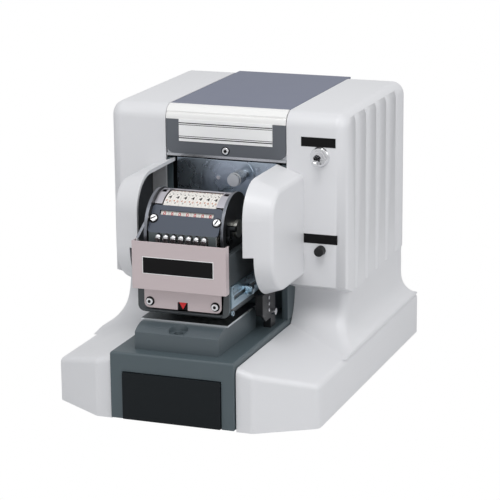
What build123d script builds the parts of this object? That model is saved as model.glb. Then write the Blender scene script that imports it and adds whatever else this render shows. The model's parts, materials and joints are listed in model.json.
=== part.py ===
from build123d import *
import math
import os

# Desk-top electric numbering perforator, in millimetres.
# Everything is modelled in a working frame: X to the right, Y back from the front face of the
# bed, Z up from the underside of the side covers.  The export moves it so that the origin is
# the centre of the footprint, on the table.

os.makedirs("parts", exist_ok=True)

# ------------------------------------------------------------------ driving sizes
machine_width = 260.0        # across both side covers
base_depth = 366.0           # bed front face to the covers' rear edge
foot_height = 5.0
running_gap = 0.3            # between bodies that move past each other
fit_gap = 0.05               # radial clearance of a shaft in its bore
seat_gap = 0.02              # radial clearance of a fixed seat

# bed and column
bed_half_width = 60.6
bed_bottom = 2.0
bed_top = 66.0
bed_wall = 9.0
bed_edge_radius = 2.5
column_wall = 13.0
cheek_thickness = 6.0
foot_x = 100.0
foot_front = 60.0
foot_from_rear = 46.0

# side covers
cover_wall = 4.0
cover_inner_x = 61.5         # covers start this far from the centre plane
cover_seam = 0.2
base_front = 4.0
base_corner_depth = 37.0
base_bend_x = 77.0
base_top_inner = 60.0
base_top_outer = 41.0
base_edge_radius = 6.0
base_upright_radius = 9.0
tower_half_width = 120.0
tower_front = 144.0
tower_rear = base_depth - 21.0
bed_rear = tower_rear - 25.0
tower_top = 269.5
tower_edge_radius = 12.0
tower_front_radius = 14.0
waist_front_half_width = 114.0
waist_rear_half_width = 118.5
waist_top = 95.0
tower_bottom = waist_top + 8.0
waist_front = tower_front + 23.0
skirt_front_radius = 52.0
skirt_side_radius = 28.0
skirt_rear_radius = 30.0
rib_count = 5
rib_first = tower_front + 30.0
rib_pitch = (tower_rear - tower_front - 35.0) / rib_count
rib_depth = 2.4
rib_width = 9.0

# head guards moulded on the covers
guard_rim_x = 52.0
guard_width = 26.5
guard_front = 49.5
guard_top = 219.0
guard_bottom = 104.0
guard_top_radius = 34.0
guard_bottom_radius = 46.0
guard_taper = 19.0
guard_wall = 3.0
guard_crease_radius = 5.0
guard_notch_height = 151.0

# top plate, trim and front panel
panel_half_width = 60.8
panel_height = 33.5
panel_thickness = 2.5
panel_corner_radius = 8.0
top_plate_thickness = 2.0
trim_radius = 12.5
trim_thickness = 2.5
trim_groove_drop = 6.5
trim_groove_size = 1.6
trim_joint = 0.5
panel_top = tower_top - trim_radius - trim_joint
panel_bottom = panel_top - panel_height

# column, tied to the tower that hides it
column_front = tower_front + 36.0
column_rear = column_front + 82.0
column_top = panel_top - 12.5
cheek_front = tower_front + 2.0
cheek_top = panel_bottom - 5.0
lip_gap = 2.5

# switches on the right cover
switch_x = 94.5
switch_z = tower_top - 40.8
toggle_bezel_radius = 9.8
toggle_nut_radius = 7.2
toggle_stem_radius = 4.4
toggle_length = 15.0
button_z = 138.6
button_radius = 4.6
button_proud = 8.0
button_travel = 3.0

# die set
die_half_width = 41.0
die_front = 13.6
die_rear = 112.0
die_front_height = 82.5
die_top = 88.6
die_nose_depth = 19.0
die_plate_thickness = 1.8
die_plate_overhang = 2.0
die_pocket_radius = 9.0
die_screw_y = 20.0

# numbering head
stroke = 6.0
wheel_count = 7
wheel_pitch = 7.5
wheel_radius = 30.8
wheel_axis_y = 72.0
wheel_axis_z = 172.6
axle_radius = 6.0
drum_cover_radius = 32.6
drum_cover_wall = 1.0
side_plate_x = 34.6
side_plate_thickness = 3.0
right_rim_radius = 34.0
left_rim_radius = 37.0
left_rim_shift = (-4.0, -2.6)         # depth, height of its centre off the wheel axis
strap_top = (-37.0, 34.5, 181.5)
strap_foot = (-41.8, 26.5, 168.2)
head_half_width = 45.0
head_front = 32.0
head_rear = 112.0
head_bottom = 97.5
head_top = 156.0
head_wall = 4.0
head_corner_radius = 6.0
head_lip_half_width = 38.3
scale_bottom = head_bottom + 8.5
scale_height = 21.0
head_lip_front = (28.4, 99.8)      # depth, height of its edge
front_plate_half_width = 46.0
front_plate_y = 22.0
front_plate_bottom = 121.5
front_plate_top = 166.6
sheet = 1.5
lower_plate_half_width = 38.0
lower_plate_bottom = 102.0
lower_screw_x = 32.2
lower_screw_z = 108.2
index_plate_half_width = 34.4
index_plate_top = (48.0, 195.6)      # depth, height of the upper edge
index_plate_foot = (32.0, 173.3)     # depth, height of the lower edge
index_plate_thickness = 1.5
index_slot_half_width = 26.5
index_slot_height = 4.6
index_slot_from_top = 7.2
comb_bottom = 152.0
comb_slot_radius = 3.0
cover_slot_degrees = (92.0, 104.0)
pan_head_radius = 3.5
pin_radius = 0.6
pin_fit = 0.1                # radial
pin_rows = 3
pin_row_pitch = 2.5
pin_first_y = 62.0
pin_tip = 95.4
lever_pivot = (37.0, 150.0)
lever_tip = (29.4, 170.2)
lever_thickness = 4.8
lever_ball_radius = 2.6
lever_rod_radius = 2.5
ram_screw_x = -7.8
ram_screw_drop = 17.0                # below the ram's top
knob_stem_radius = 4.0

# drive
crank_radius = stroke / 2
crank_axis_z = 185.0
crankshaft_radius = 10.0
eccentric_radius = 12.0
yoke_play = 1.2
boss_radius = 27.0
boss_height = 1.2
ram_half_width = 50.8
ram_front = cheek_front
ram_bottom = 104.0
ram_top = cheek_top + 1.0
yoke_rear = column_front - 2.0
ram_rear = yoke_rear - 13.0
knob_place = (18.0, ram_top - 12.0)  # across, height
flywheel_radius = 40.0
belt_thickness = 3.0
belt_width = 9.0
pulley_radius = 12.0
motor_axis_z = 108.0
motor_radius = 33.0
motor_length = tower_rear - column_rear - 21.0

# side gauge bracket
bracket_x = 47.0
bracket_width = 7.5
bracket_front = 95.0
bracket_rear = 130.0
bracket_top = 103.4

# chip drawer
drawer_half_width = 48.3
drawer_proud = 2.0
drawer_top = 47.4
drawer_depth = 96.0

# worked out from the sizes above
overall_depth = base_depth + drawer_proud
origin = Pos(0, drawer_proud - overall_depth / 2, foot_height)
crank_top_z = crank_axis_z + crank_radius
belt_plane_y = column_rear + 8.0


# ------------------------------------------------------------------ helpers
def block(x0, x1, y0, y1, z0, z1):
    """Box between two corners."""
    return Pos((x0 + x1) / 2, (y0 + y1) / 2, (z0 + z1) / 2) * Box(x1 - x0, y1 - y0, z1 - z0)


def rod_x(radius, x0, x1, y, z):
    return Pos((x0 + x1) / 2, y, z) * Rot(0, 90, 0) * Cylinder(radius, x1 - x0)


def rod_y(radius, y0, y1, x, z):
    return Pos(x, (y0 + y1) / 2, z) * Rot(90, 0, 0) * Cylinder(radius, y1 - y0)


def rod_z(radius, z0, z1, x, y):
    return Pos(x, y, (z0 + z1) / 2) * Cylinder(radius, z1 - z0)


def slab_x(points, x0, x1):
    """Prism along X from an outline of (depth, height) points."""
    outline = make_face(Polyline(*[(x0, y, z) for y, z in points], close=True))
    return extrude(outline, amount=x1 - x0, dir=(1, 0, 0))


def slab_y(points, y0, y1):
    """Prism along Y from an outline of (x, height) points."""
    outline = make_face(Polyline(*[(x, y0, z) for x, z in points], close=True))
    return extrude(outline, amount=y1 - y0, dir=(0, 1, 0))


def slab_z(points, z0, z1):
    """Prism along Z from an outline of (x, depth) points."""
    outline = make_face(Polyline(*[(x, y, z0) for x, y in points], close=True))
    return extrude(outline, amount=z1 - z0, dir=(0, 0, 1))


def mirrored(shape):
    return mirror(shape, about=Plane.YZ)


def socket_screw_y(x, y, z, radius, head, length):
    """Cap screw along Y, its head's outer face at y and its shank running back."""
    cap = rod_y(radius, y, y + head, x, z)
    cap = chamfer(cap.edges().filter_by(GeomType.CIRCLE).sort_by(Axis.Y)[0], radius * 0.12)
    shank = rod_y(radius * 0.55, y + head, y + head + length, x, z)
    socket = Pos(x, y, z) * Rot(-90, 0, 0) * extrude(RegularPolygon(radius * 0.5, 6), head * 0.6)
    return cap + shank - socket


def concave(radius, drop):
    """Outward reach of a concave quarter arc at a distance below its tangent height."""
    return radius - math.sqrt(max(radius ** 2 - min(drop, radius) ** 2, 0.0))


# ------------------------------------------------------------------ side covers
def plan_prism(inset, z0, z1):
    """Footprint of a right cover, angled back at its front corner."""
    x_in = cover_inner_x - inset
    x_out = machine_width / 2 - inset
    front = base_front + inset
    corner = base_corner_depth + inset
    rear = base_depth - inset
    outline = [(x_in, front), (base_bend_x, front), (x_out, corner), (x_out, rear), (x_in, rear)]
    prism = slab_z(outline, z0, z1)
    upright = prism.edges().filter_by(Axis.Z)
    corners = [e for e in upright if e.center().X > cover_inner_x + 1]
    return fillet(corners, base_upright_radius - inset)


def waist_section(height, inset):
    """Horizontal outline of the waist between the tower and the base."""
    front_drop = max(waist_top - height, 0.0)
    side_drop = max(waist_top - 25.0 - height, 0.0)
    front = waist_front - concave(skirt_front_radius, front_drop) + inset
    rear = tower_rear + concave(skirt_rear_radius, side_drop) - inset
    front_half = waist_front_half_width + concave(skirt_side_radius, side_drop) - inset
    rear_half = waist_rear_half_width + concave(skirt_side_radius, side_drop) * 0.6 - inset
    x_in = cover_inner_x - inset
    corners = [(x_in, front), (front_half, front), (rear_half, rear), (x_in, rear)]
    face = make_face(Polyline(*[(x, y, height) for x, y in corners], close=True))
    outer = [v for v in face.vertices() if v.X > cover_inner_x + 1]
    return fillet(outer, base_upright_radius - inset)


def cover_form(inset):
    """Solid outer form of the right cover, shrunk by inset for the inside of its wall."""
    x_in = cover_inner_x - inset
    x_out = machine_width / 2 - inset
    low = -1.0 if inset else 0.0
    base = slab_y(
        [(x_in, low), (x_out, low), (x_out, base_top_outer - inset), (x_in, base_top_inner - inset)],
        base_front + inset,
        base_depth - inset,
    )
    base = base & plan_prism(inset, low, base_top_inner + 1)
    sloped = [f for f in base.faces() if f.normal_at().Z > 0.9][0]
    rim = [e for e in sloped.edges() if e.center().X > cover_inner_x + 1]
    base = fillet(rim, base_edge_radius - inset * 0.5)
    drops = (1.0, 0.925, 0.81, 0.66, 0.434, 0.17, 0.0)
    skirt_height = waist_top - base_top_outer - 1.0
    skirt = loft([waist_section(waist_top - drop * skirt_height, inset) for drop in drops])
    waist = extrude(waist_section(waist_top, inset), amount=tower_bottom + 4 - waist_top, dir=(0, 0, 1))
    tower = slab_x(
        [
            (tower_front + inset, tower_bottom),
            (tower_front + inset, tower_top - inset),
            (tower_rear - inset, tower_top - inset),
            (tower_rear - inset, tower_bottom - 4),
            (waist_front + inset, waist_top - 1),
        ],
        x_in,
        tower_half_width - inset,
    )
    along_x = tower.edges().filter_by(Axis.X)
    tower = fillet(along_x.group_by(Axis.Z)[-1], tower_front_radius - inset)
    side_face = tower.faces().sort_by(Axis.X)[-1]
    rim = [e for e in side_face.edges() if e.center().Z > tower_bottom + 1]
    tower = fillet(rim, tower_edge_radius - inset)
    body = (base + skirt + waist + tower) & plan_prism(inset, low, tower_top + 1)
    return body


def guard_form(inset):
    """Outer form of the right head guard, open towards the head."""
    x0 = guard_rim_x if inset == 0 else guard_rim_x - 1.0
    depth = guard_width - inset - (x0 - guard_rim_x)
    y0 = guard_front + inset
    z0 = guard_bottom + inset
    z1 = guard_top - inset
    rear = tower_front + 16.0
    outline = make_face(Polyline((y0, z0), (y0, z1), (rear, z1), (rear, z0), close=True))
    front = outline.vertices().group_by(Axis.X)[0].sort_by(Axis.Y)
    outline = fillet(front[1], guard_top_radius - inset)
    low = outline.vertices().group_by(Axis.Y)[0].sort_by(Axis.X)[0]
    outline = fillet(low, guard_bottom_radius - inset)
    guard = extrude(Plane.YZ.offset(x0) * outline, amount=depth, taper=guard_taper)
    if inset == 0:
        outer = guard.faces().sort_by(Axis.X)[-1]
        guard = fillet(outer.edges(), guard_crease_radius)
    return guard & block(0, machine_width, 0, tower_front + (2.0 if inset == 0 else 0.0), 0, 2 * tower_top)


def ribs():
    """Cutters of the shiplap grooves down the side of the tower."""
    cutters = []
    for i in range(rib_count):
        y = rib_first + i * rib_pitch
        outline = [
            (tower_half_width + 1.0, y - 0.5),
            (tower_half_width - rib_depth, y),
            (tower_half_width - rib_depth, y + 1.2),
            (tower_half_width + 1.0, y + rib_width + 1.2),
        ]
        cutters.append(slab_z(outline, tower_bottom - 10, tower_top))
    return cutters


def plain_cover():
    """Right cover with its guard, before the switch holes."""
    shell = cover_form(0) - cover_form(cover_wall)
    for cutter in ribs():
        shell -= cutter
    guard = guard_form(0) - guard_form(guard_wall)
    notch = block(0, cover_inner_x, 0, tower_front + 2, 0, guard_notch_height)
    behind = block(0, cover_inner_x, tower_front, base_depth, 0, 2 * tower_top)
    guard = guard - notch - behind
    return shell + guard


# ------------------------------------------------------------------ frame
def frame_casting():
    """Hollow bed with a drawer bay, two bearing walls and two cheeks, in one casting."""
    bed = block(-bed_half_width, bed_half_width, 0, bed_rear, bed_bottom, bed_top)
    rim = bed.edges().filter_by(Axis.Y).group_by(Axis.Z)[-1] + bed.edges().filter_by(Axis.X).filter_by(
        lambda e: e.center().Y < 1 and e.center().Z > bed_top - 1
    )
    bed = fillet(rim, bed_edge_radius)
    inner = bed_half_width - bed_wall
    bay_rear = drawer_depth + 4.0
    hollow = block(-inner, inner, bay_rear + bed_wall, bed_rear - bed_wall, 0, bed_top - bed_wall)
    bay = block(
        -drawer_half_width - running_gap,
        drawer_half_width + running_gap,
        -1,
        bay_rear,
        0,
        drawer_top + running_gap,
    )
    chute = block(-34, 34, 56, 76, drawer_top, bed_top + 1)
    casting = bed - hollow - bay - chute
    wall_half = cover_inner_x - cover_seam
    front_wall = block(-wall_half, wall_half, column_front, column_front + column_wall, bed_top, column_top)
    rear_wall = block(-wall_half, wall_half, column_rear - column_wall, column_rear, bed_top, column_top)
    casting += front_wall + rear_wall
    for side in (-1, 1):
        x0, x1 = sorted((side * wall_half, side * (wall_half - cheek_thickness)))
        casting += block(x0, x1, cheek_front, column_rear, bed_top, cheek_top)
    casting -= rod_y(crankshaft_radius + 8, column_front - 1, column_rear + 1, 0, crank_axis_z)
    return casting


def bottom_plate():
    """Sheet-steel floor that closes the machine and carries the feet."""
    half = machine_width / 2 - cover_wall - 1
    outline = [
        (-base_bend_x, base_front + cover_wall + 2),
        (base_bend_x, base_front + cover_wall + 2),
        (half, base_corner_depth + cover_wall + 4),
        (half, base_depth - cover_wall - 1),
        (-half, base_depth - cover_wall - 1),
        (-half, base_corner_depth + cover_wall + 4),
    ]
    plate = slab_z(outline, 0.2, bed_bottom)
    return fillet(plate.edges().filter_by(Axis.Z), 4.0)


def rubber_feet():
    feet = []
    stand = (Align.CENTER, Align.CENTER, Align.MIN)
    for x in (-foot_x, foot_x):
        for y in (foot_front, base_depth - foot_from_rear):
            feet.append(Pos(x, y, -foot_height) * Cone(10, 12, foot_height + 0.2, align=stand))
    return Compound(children=feet)


# ------------------------------------------------------------------ top and front
def top_plate():
    """Painted sheet on the top, sunk flush between the covers."""
    plate = block(
        -panel_half_width,
        panel_half_width,
        tower_front + trim_radius,
        tower_rear - 0.5,
        tower_top - top_plate_thickness,
        tower_top,
    )
    return plate


def front_trim():
    """Bright extrusion that carries the top surface down to the front panel, with one groove."""
    y_front, z_top, r = tower_front, tower_top, trim_radius
    outer = (y_front + r - r * math.cos(math.pi / 4), z_top - r + r * math.sin(math.pi / 4))
    ri = r - trim_thickness
    inner = (y_front + r - ri * math.cos(math.pi / 4), z_top - r + ri * math.sin(math.pi / 4))
    with BuildPart() as trim:
        with BuildSketch(Plane.YZ.offset(-panel_half_width)):
            with BuildLine():
                Line((y_front, panel_top), (y_front, z_top - r))
                ThreePointArc((y_front, z_top - r), outer, (y_front + r, z_top))
                Line((y_front + r, z_top), (y_front + r, z_top - trim_thickness))
                ThreePointArc(
                    (y_front + r, z_top - trim_thickness), inner, (y_front + trim_thickness, z_top - r)
                )
                Line((y_front + trim_thickness, z_top - r), (y_front + trim_thickness, panel_top))
                Line((y_front + trim_thickness, panel_top), (y_front, panel_top))
            make_face()
        extrude(amount=2 * panel_half_width)
    groove = block(
        -panel_half_width - 1,
        panel_half_width + 1,
        y_front - 2,
        y_front + 2.2,
        z_top - trim_groove_drop - trim_groove_size / 2,
        z_top - trim_groove_drop + trim_groove_size / 2,
    )
    shelf = block(
        -panel_half_width,
        panel_half_width,
        y_front + r - 4,
        y_front + r + 12,
        z_top - top_plate_thickness - 2,
        z_top - top_plate_thickness,
    )
    return trim.part - groove + shelf


def front_panel():
    """Dark panel with round lower corners and a narrow bright lip under it."""
    panel = block(
        -panel_half_width,
        panel_half_width,
        tower_front,
        tower_front + panel_thickness,
        panel_bottom,
        panel_top,
    )
    low = panel.edges().filter_by(Axis.Y).group_by(Axis.Z)[0]
    panel = fillet(low, panel_corner_radius)
    return panel - rod_y(2.2, tower_front - 1, tower_front + panel_thickness + 1, 0, panel_bottom + 5.2)


def panel_carrier():
    """Folded bracket behind the front panel, from cheek to cheek, with the lip below the panel."""
    back = block(
        -panel_half_width,
        panel_half_width,
        tower_front + panel_thickness,
        tower_front + panel_thickness + 2,
        cheek_top + lip_gap,
        tower_top - tower_front_radius,
    )
    lip = block(
        -panel_half_width,
        panel_half_width,
        tower_front + 0.4,
        tower_front + panel_thickness + 2,
        cheek_top + lip_gap,
        panel_bottom,
    )
    top = block(
        -panel_half_width,
        panel_half_width,
        tower_front + panel_thickness,
        column_front + column_wall,
        column_top,
        column_top + 3,
    )
    bore = rod_y(2.4, tower_front, tower_front + panel_thickness + 3, 0, panel_bottom + 5.2)
    return back + lip + top - bore


def rear_panel():
    """Sheet that closes the back between the covers, with a louvre field."""
    panel = block(
        -panel_half_width, panel_half_width, tower_rear - 2.5, tower_rear - 0.5, bed_bottom, tower_top - 2.1
    )
    for row in range(8):
        z = 150 + row * 10
        slot = block(-32, 32, tower_rear - 4, tower_rear, z, z + 3)
        panel -= slot
    inlet = block(-14, 14, tower_rear - 4, tower_rear + 1, 44, 64)
    return panel - inlet


def power_inlet():
    """Three-pin mains inlet with its flange outside the rear panel."""
    flange = block(-25, 25, tower_rear - 0.5, tower_rear + 2, 42, 66)
    body = block(-13.7, 13.7, tower_rear - 20, tower_rear - 0.5, 44.3, 63.7)
    socket = block(-11.5, 11.5, tower_rear - 14, tower_rear + 3, 46.5, 61.5)
    inlet = fillet(flange.edges().filter_by(Axis.Y), 4) + body - socket
    for x in (-7, 0, 7):
        z = 54 if x else 57
        inlet += block(x - 1, x + 1, tower_rear - 15, tower_rear - 2, z - 2, z + 2)
    return inlet


# ------------------------------------------------------------------ die set
def die_block():
    """Block with a crowned nose, a sunk screw pocket and a chip chute."""
    nose_end = die_front + die_nose_depth
    middle = (die_front + die_nose_depth * 0.42, die_front_height + (die_top - die_front_height) * 0.72)
    with BuildPart() as made:
        with BuildSketch(Plane.YZ.offset(-die_half_width)):
            with BuildLine():
                Line((die_front, bed_top), (die_front, die_front_height))
                ThreePointArc((die_front, die_front_height), middle, (nose_end, die_top))
                Line((nose_end, die_top), (die_rear, die_top))
                Line((die_rear, die_top), (die_rear, bed_top))
                Line((die_rear, bed_top), (die_front, bed_top))
            make_face()
        extrude(amount=2 * die_half_width)
    pocket = rod_z(die_pocket_radius, die_front_height + 0.6, die_top + 5, 0, die_screw_y)
    bore = rod_z(4.6, bed_top + 6, die_top, 0, die_screw_y)
    chute = block(-32, 32, 58, 74, bed_top - 1, die_top + 1)
    return made.part - pocket - bore - chute


def die_plate():
    """Hardened plate with one hole for every punch pin."""
    z0, z1 = die_top, die_top + die_plate_thickness
    half = die_half_width + die_plate_overhang
    plate = block(-half, half, die_front + die_nose_depth + 0.4, die_rear, z0, z1)
    holes = [rod_z(pin_radius + pin_fit, z0 - 1, z1 + 1, x, y) for x, y in pin_places()]
    return plate - holes


def pin_places():
    """Centre of every punch pin: one column of pins under each number wheel."""
    places = []
    for i in range(wheel_count):
        x = (i - (wheel_count - 1) / 2) * wheel_pitch
        for row in range(pin_rows):
            places.append((x, pin_first_y + row * pin_row_pitch))
    return places


# ------------------------------------------------------------------ numbering head
def head_frame():
    """Open box that carries the wheels, levers and pins, with round lower front corners."""
    outer = block(-head_half_width, head_half_width, head_front, head_rear, head_bottom, head_top)
    low = [
        e
        for e in outer.edges().filter_by(Axis.Y)
        if e.center().Z < head_bottom + 1
    ]
    outer = fillet(low, head_corner_radius)
    inner = block(
        -head_half_width + head_wall,
        head_half_width - head_wall,
        head_front + head_wall,
        head_rear - head_wall,
        head_bottom - 1,
        head_top + 1,
    )
    window = block(
        -head_half_width + head_wall,
        head_half_width - head_wall,
        head_front - 1,
        head_front + head_wall + 1,
        lever_pivot[1] - 9.0,
        head_top + 1,
    )
    frame = outer - inner - window
    for x in (-lower_screw_x, lower_screw_x):
        frame -= rod_y(2.0, head_front - 1, head_front + head_wall + 1, x, lower_screw_z)
    for side in (-1, 1):
        x0, x1 = sorted((side * (side_plate_x + side_plate_thickness), side * (head_half_width - head_wall)))
        frame += block(x0, x1, wheel_axis_y - 20, wheel_axis_y + 24, head_top - 26, head_top)
    lip_y, lip_z = head_lip_front
    lip = [
        (lip_y, lip_z),
        (lip_y + 0.9, lip_z + 0.5),
        (head_front + head_wall, lip_z + 0.5),
        (head_front + head_wall, head_bottom - 0.6),
        (head_front + 1.6, head_bottom - 0.6),
    ]
    return frame + slab_x(lip, -head_lip_half_width, head_lip_half_width)


def bar_between(start, end, width, thickness):
    """Flat bar from one point to another, its width across the machine."""
    span = Vector(*end) - Vector(*start)
    section = Plane(origin=start, x_dir=(1, 0, 0), z_dir=span) * Rectangle(width, thickness)
    return extrude(section, amount=span.length)


def side_plate(rim_radius, shift, mirror_it):
    """Upright plate with a round top rim that holds one end of the wheel axle."""
    x0, x1 = side_plate_x, side_plate_x + side_plate_thickness
    disc = rod_x(rim_radius, x0, x1, wheel_axis_y + shift[0], wheel_axis_z + shift[1])
    foot = block(x0, x1, wheel_axis_y - 26, wheel_axis_y + 26, head_top - 32, wheel_axis_z)
    corners = [(-32, -14.6), (-26, -22.6), (-12, -22.6), (-12, 3.4), (-32, 3.4)]
    ear = slab_x([(wheel_axis_y + u, wheel_axis_z + v) for u, v in corners], x0, x1)
    plate = disc + foot + ear
    plate -= rod_x(axle_radius + fit_gap, x0 - 1, x1 + 1, wheel_axis_y, wheel_axis_z)
    plate -= rod_x(lever_rod_radius + fit_gap, x0 - 1, x1 + 1, *lever_pivot)
    if mirror_it:
        return mirrored(plate) + bar_between(strap_top, strap_foot, 2.6, 1.6)
    return plate


def wheel(index):
    """Number wheel with a recessed side and a ten-tooth ratchet."""
    x = (index - (wheel_count - 1) / 2) * wheel_pitch
    half = wheel_pitch / 2 - running_gap / 2
    rim = rod_x(wheel_radius, x - half, x + half, wheel_axis_y, wheel_axis_z)
    recess = rod_x(wheel_radius - 4, x + half - 2.5, x + half + 1, wheel_axis_y, wheel_axis_z)
    ratchet = []
    for k in range(10):
        a0 = math.radians(36 * k)
        a1 = math.radians(36 * (k + 1))
        ratchet.append((21 * math.cos(a0), 21 * math.sin(a0)))
        ratchet.append((17 * math.cos(a1), 17 * math.sin(a1)))
    teeth = slab_x([(wheel_axis_y + u, wheel_axis_z + v) for u, v in ratchet], x + half - 3, x + half)
    bore = rod_x(axle_radius + fit_gap, x - half - 1, x + half + 1, wheel_axis_y, wheel_axis_z)
    return rim - recess + teeth - bore


def head_shafts():
    """Wheel axle with its end collars, and the rod that the finger levers turn on."""
    reach = side_plate_x + side_plate_thickness + 3
    axle = rod_x(axle_radius, -reach, reach, wheel_axis_y, wheel_axis_z)
    for side in (-1, 1):
        x0, x1 = sorted((side * (reach - 3), side * reach))
        axle += rod_x(axle_radius + 2.5, x0, x1, wheel_axis_y, wheel_axis_z)
    half = head_half_width - head_wall
    lever_rod = rod_x(lever_rod_radius, -half, half, *lever_pivot)
    return Compound(children=[axle, lever_rod])


def finger_lever(index):
    """Setting lever: an eye on the rod, a flat arm and a ball end."""
    x = (index - (wheel_count - 1) / 2) * wheel_pitch
    x0, x1 = x - lever_thickness / 2, x + lever_thickness / 2
    py, pz = lever_pivot
    ty, tz = lever_tip
    length = math.hypot(ty - py, tz - pz)
    ny, nz = -(tz - pz) / length, (ty - py) / length
    half = 2.3
    arm = slab_x(
        [
            (py + ny * half, pz + nz * half),
            (ty + ny * half, tz + nz * half),
            (ty - ny * half, tz - nz * half),
            (py - ny * half, pz - nz * half),
        ],
        x0,
        x1,
    )
    eye = rod_x(4.6, x0, x1, py, pz)
    ball = Pos(x, ty, tz) * Sphere(lever_ball_radius)
    return eye + arm + ball - rod_x(lever_rod_radius + fit_gap, x0 - 1, x1 + 1, py, pz)


def drum_cover():
    """Curved cover over the wheels with a reading window between two slots."""
    ring = rod_x(drum_cover_radius, -side_plate_x + 0.3, side_plate_x - 0.3, wheel_axis_y, wheel_axis_z)
    ring -= rod_x(drum_cover_radius - drum_cover_wall, -50, 50, wheel_axis_y, wheel_axis_z)
    far = 60
    wedge = []
    for degrees in (133, 110, 80, 50, 18):
        a = math.radians(degrees)
        wedge.append((wheel_axis_y + far * math.cos(a), wheel_axis_z + far * math.sin(a)))
    sector = slab_x([(wheel_axis_y, wheel_axis_z)] + wedge, -50, 50)
    cover = ring & sector
    window_cut = []
    for degrees in (140, 120, 86):
        a = math.radians(degrees)
        window_cut.append((wheel_axis_y + far * math.cos(a), wheel_axis_z + far * math.sin(a)))
    half_window = wheel_count * wheel_pitch / 2 + 0.5
    cover -= slab_x([(wheel_axis_y, wheel_axis_z)] + window_cut, -half_window, half_window)
    slot_cut = [(wheel_axis_y, wheel_axis_z)]
    for degrees in cover_slot_degrees:
        a = math.radians(degrees)
        slot_cut.append((wheel_axis_y + far * math.cos(a), wheel_axis_z + far * math.sin(a)))
    slot = slab_x(slot_cut, half_window + 1.6, side_plate_x - 1.6)
    return cover - slot - mirrored(slot)


def index_plane():
    """Local frame of the leaning index plate: origin mid-width on its upper edge, X right, Y down."""
    (y1, z1), (y0, z0) = index_plate_top, index_plate_foot
    return Plane(origin=(0, y1, z1), x_dir=(1, 0, 0), z_dir=(0, -(z1 - z0), y1 - y0))


def index_plate():
    """Leaning plate with a reading slot and two screw holes, and an upright comb below it."""
    (y1, z1), (y0, z0) = index_plate_top, index_plate_foot
    length = math.hypot(y1 - y0, z1 - z0)
    plane = index_plane()
    outline = Pos(0, -length / 2) * RectangleRounded(2 * index_plate_half_width, length, 3.0)
    slot_y = -index_slot_from_top
    outline -= Pos(0, slot_y) * Rectangle(2 * index_slot_half_width, index_slot_height)
    for x in (-31, 31):
        outline -= Pos(x, -length / 2) * Circle(1.6)
    plate = extrude(plane * outline, amount=-index_plate_thickness)
    half = index_plate_half_width - 1.4
    comb = block(-half, half, y0, y0 + index_plate_thickness, comb_bottom, z0)
    plate += comb
    slot_top = z0 - comb_slot_radius
    for i in range(wheel_count):
        x = (i - (wheel_count - 1) / 2) * wheel_pitch
        plate -= block(x - comb_slot_radius, x + comb_slot_radius, y0 - 1, y0 + 3, comb_bottom - 1, slot_top)
        plate -= rod_y(comb_slot_radius, y0 - 1, y0 + 3, x, slot_top)
    return plate


def head_screws():
    """Two pan heads on the index plate, two cap screws on the lower plate and one on the ram."""
    (y1, z1), (y0, z0) = index_plate_top, index_plate_foot
    length = math.hypot(y1 - y0, z1 - z0)
    screws = []
    for x in (-31, 31):
        head = index_plane() * (Pos(x, -length / 2) * Circle(pan_head_radius))
        screw = extrude(head, amount=2.0)
        screw = chamfer(screw.edges().filter_by(GeomType.CIRCLE).sort_by(Axis.Y)[0], 0.6)
        shank = extrude(index_plane() * (Pos(x, -length / 2) * Circle(1.5)), amount=-3.0)
        screws.append(screw + shank)
    for x in (-lower_screw_x, lower_screw_x):
        screws.append(socket_screw_y(x, head_front - sheet - 2.4, lower_screw_z, 3.3, 2.4, 5.0))
    x, z = ram_screw_x, ram_top - ram_screw_drop
    screws.append(rod_y(1.9, ram_front - boss_height - 1.0, ram_front - boss_height, x, z))
    return Compound(children=screws)


def front_plate():
    """Large tray-shaped plate in front of the levers."""
    w, y0 = front_plate_half_width, front_plate_y
    tray = block(-w, w, y0, head_front - 1.5, front_plate_bottom, front_plate_top)
    floor_z = front_plate_bottom + sheet
    inside = block(-w + sheet, w - sheet, y0 + sheet, head_front, floor_z, front_plate_top + 1)
    tray -= inside
    for side in (-1, 1):
        x0, x1 = sorted((side * 34, side * 42))
        tray += block(x0, x1, y0 + sheet, head_front, 126, 140)
    return tray


def lower_plate():
    """Small plate under the front plate, notched for the pointer."""
    w = lower_plate_half_width
    plate = block(-w, w, head_front - sheet, head_front, lower_plate_bottom, front_plate_bottom)
    low = plate.edges().filter_by(Axis.Y).group_by(Axis.Z)[0]
    plate = fillet(low, 5.0)
    plate -= block(-5, 5, head_front - 3, head_front + 1, lower_plate_bottom - 1, lower_plate_bottom + 7.5)
    for x in (-lower_screw_x, lower_screw_x):
        plate -= rod_y(2.0, head_front - 3, head_front + 1, x, lower_screw_z)
    return plate


def pin_block():
    """Guide block that holds the punch pins above the paper."""
    x = head_half_width - head_wall
    guide = block(-x, x, head_front + head_wall, head_rear - head_wall, head_bottom + 0.8, 124)
    rows = pin_places()
    y0 = min(y for _, y in rows) - 2.2
    y1 = max(y for _, y in rows) + 2.2
    for i in range(wheel_count):
        px = (i - (wheel_count - 1) / 2) * wheel_pitch
        guide -= block(px - 1.6, px + 1.6, y0, y1, head_bottom, 125)
    return guide


def punch_pins():
    """Punch pins, one column under each wheel, joined by their holders."""
    columns = []
    for i in range(wheel_count):
        px = (i - (wheel_count - 1) / 2) * wheel_pitch
        ys = [y for x, y in pin_places() if abs(x - px) < 0.01]
        column = block(px - 1.6, px + 1.6, min(ys) - 2.2, max(ys) + 2.2, 110, 138)
        for y in ys:
            column += rod_z(pin_radius, pin_tip, 111, px, y)
        columns.append(column)
    return Compound(children=columns)


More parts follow.
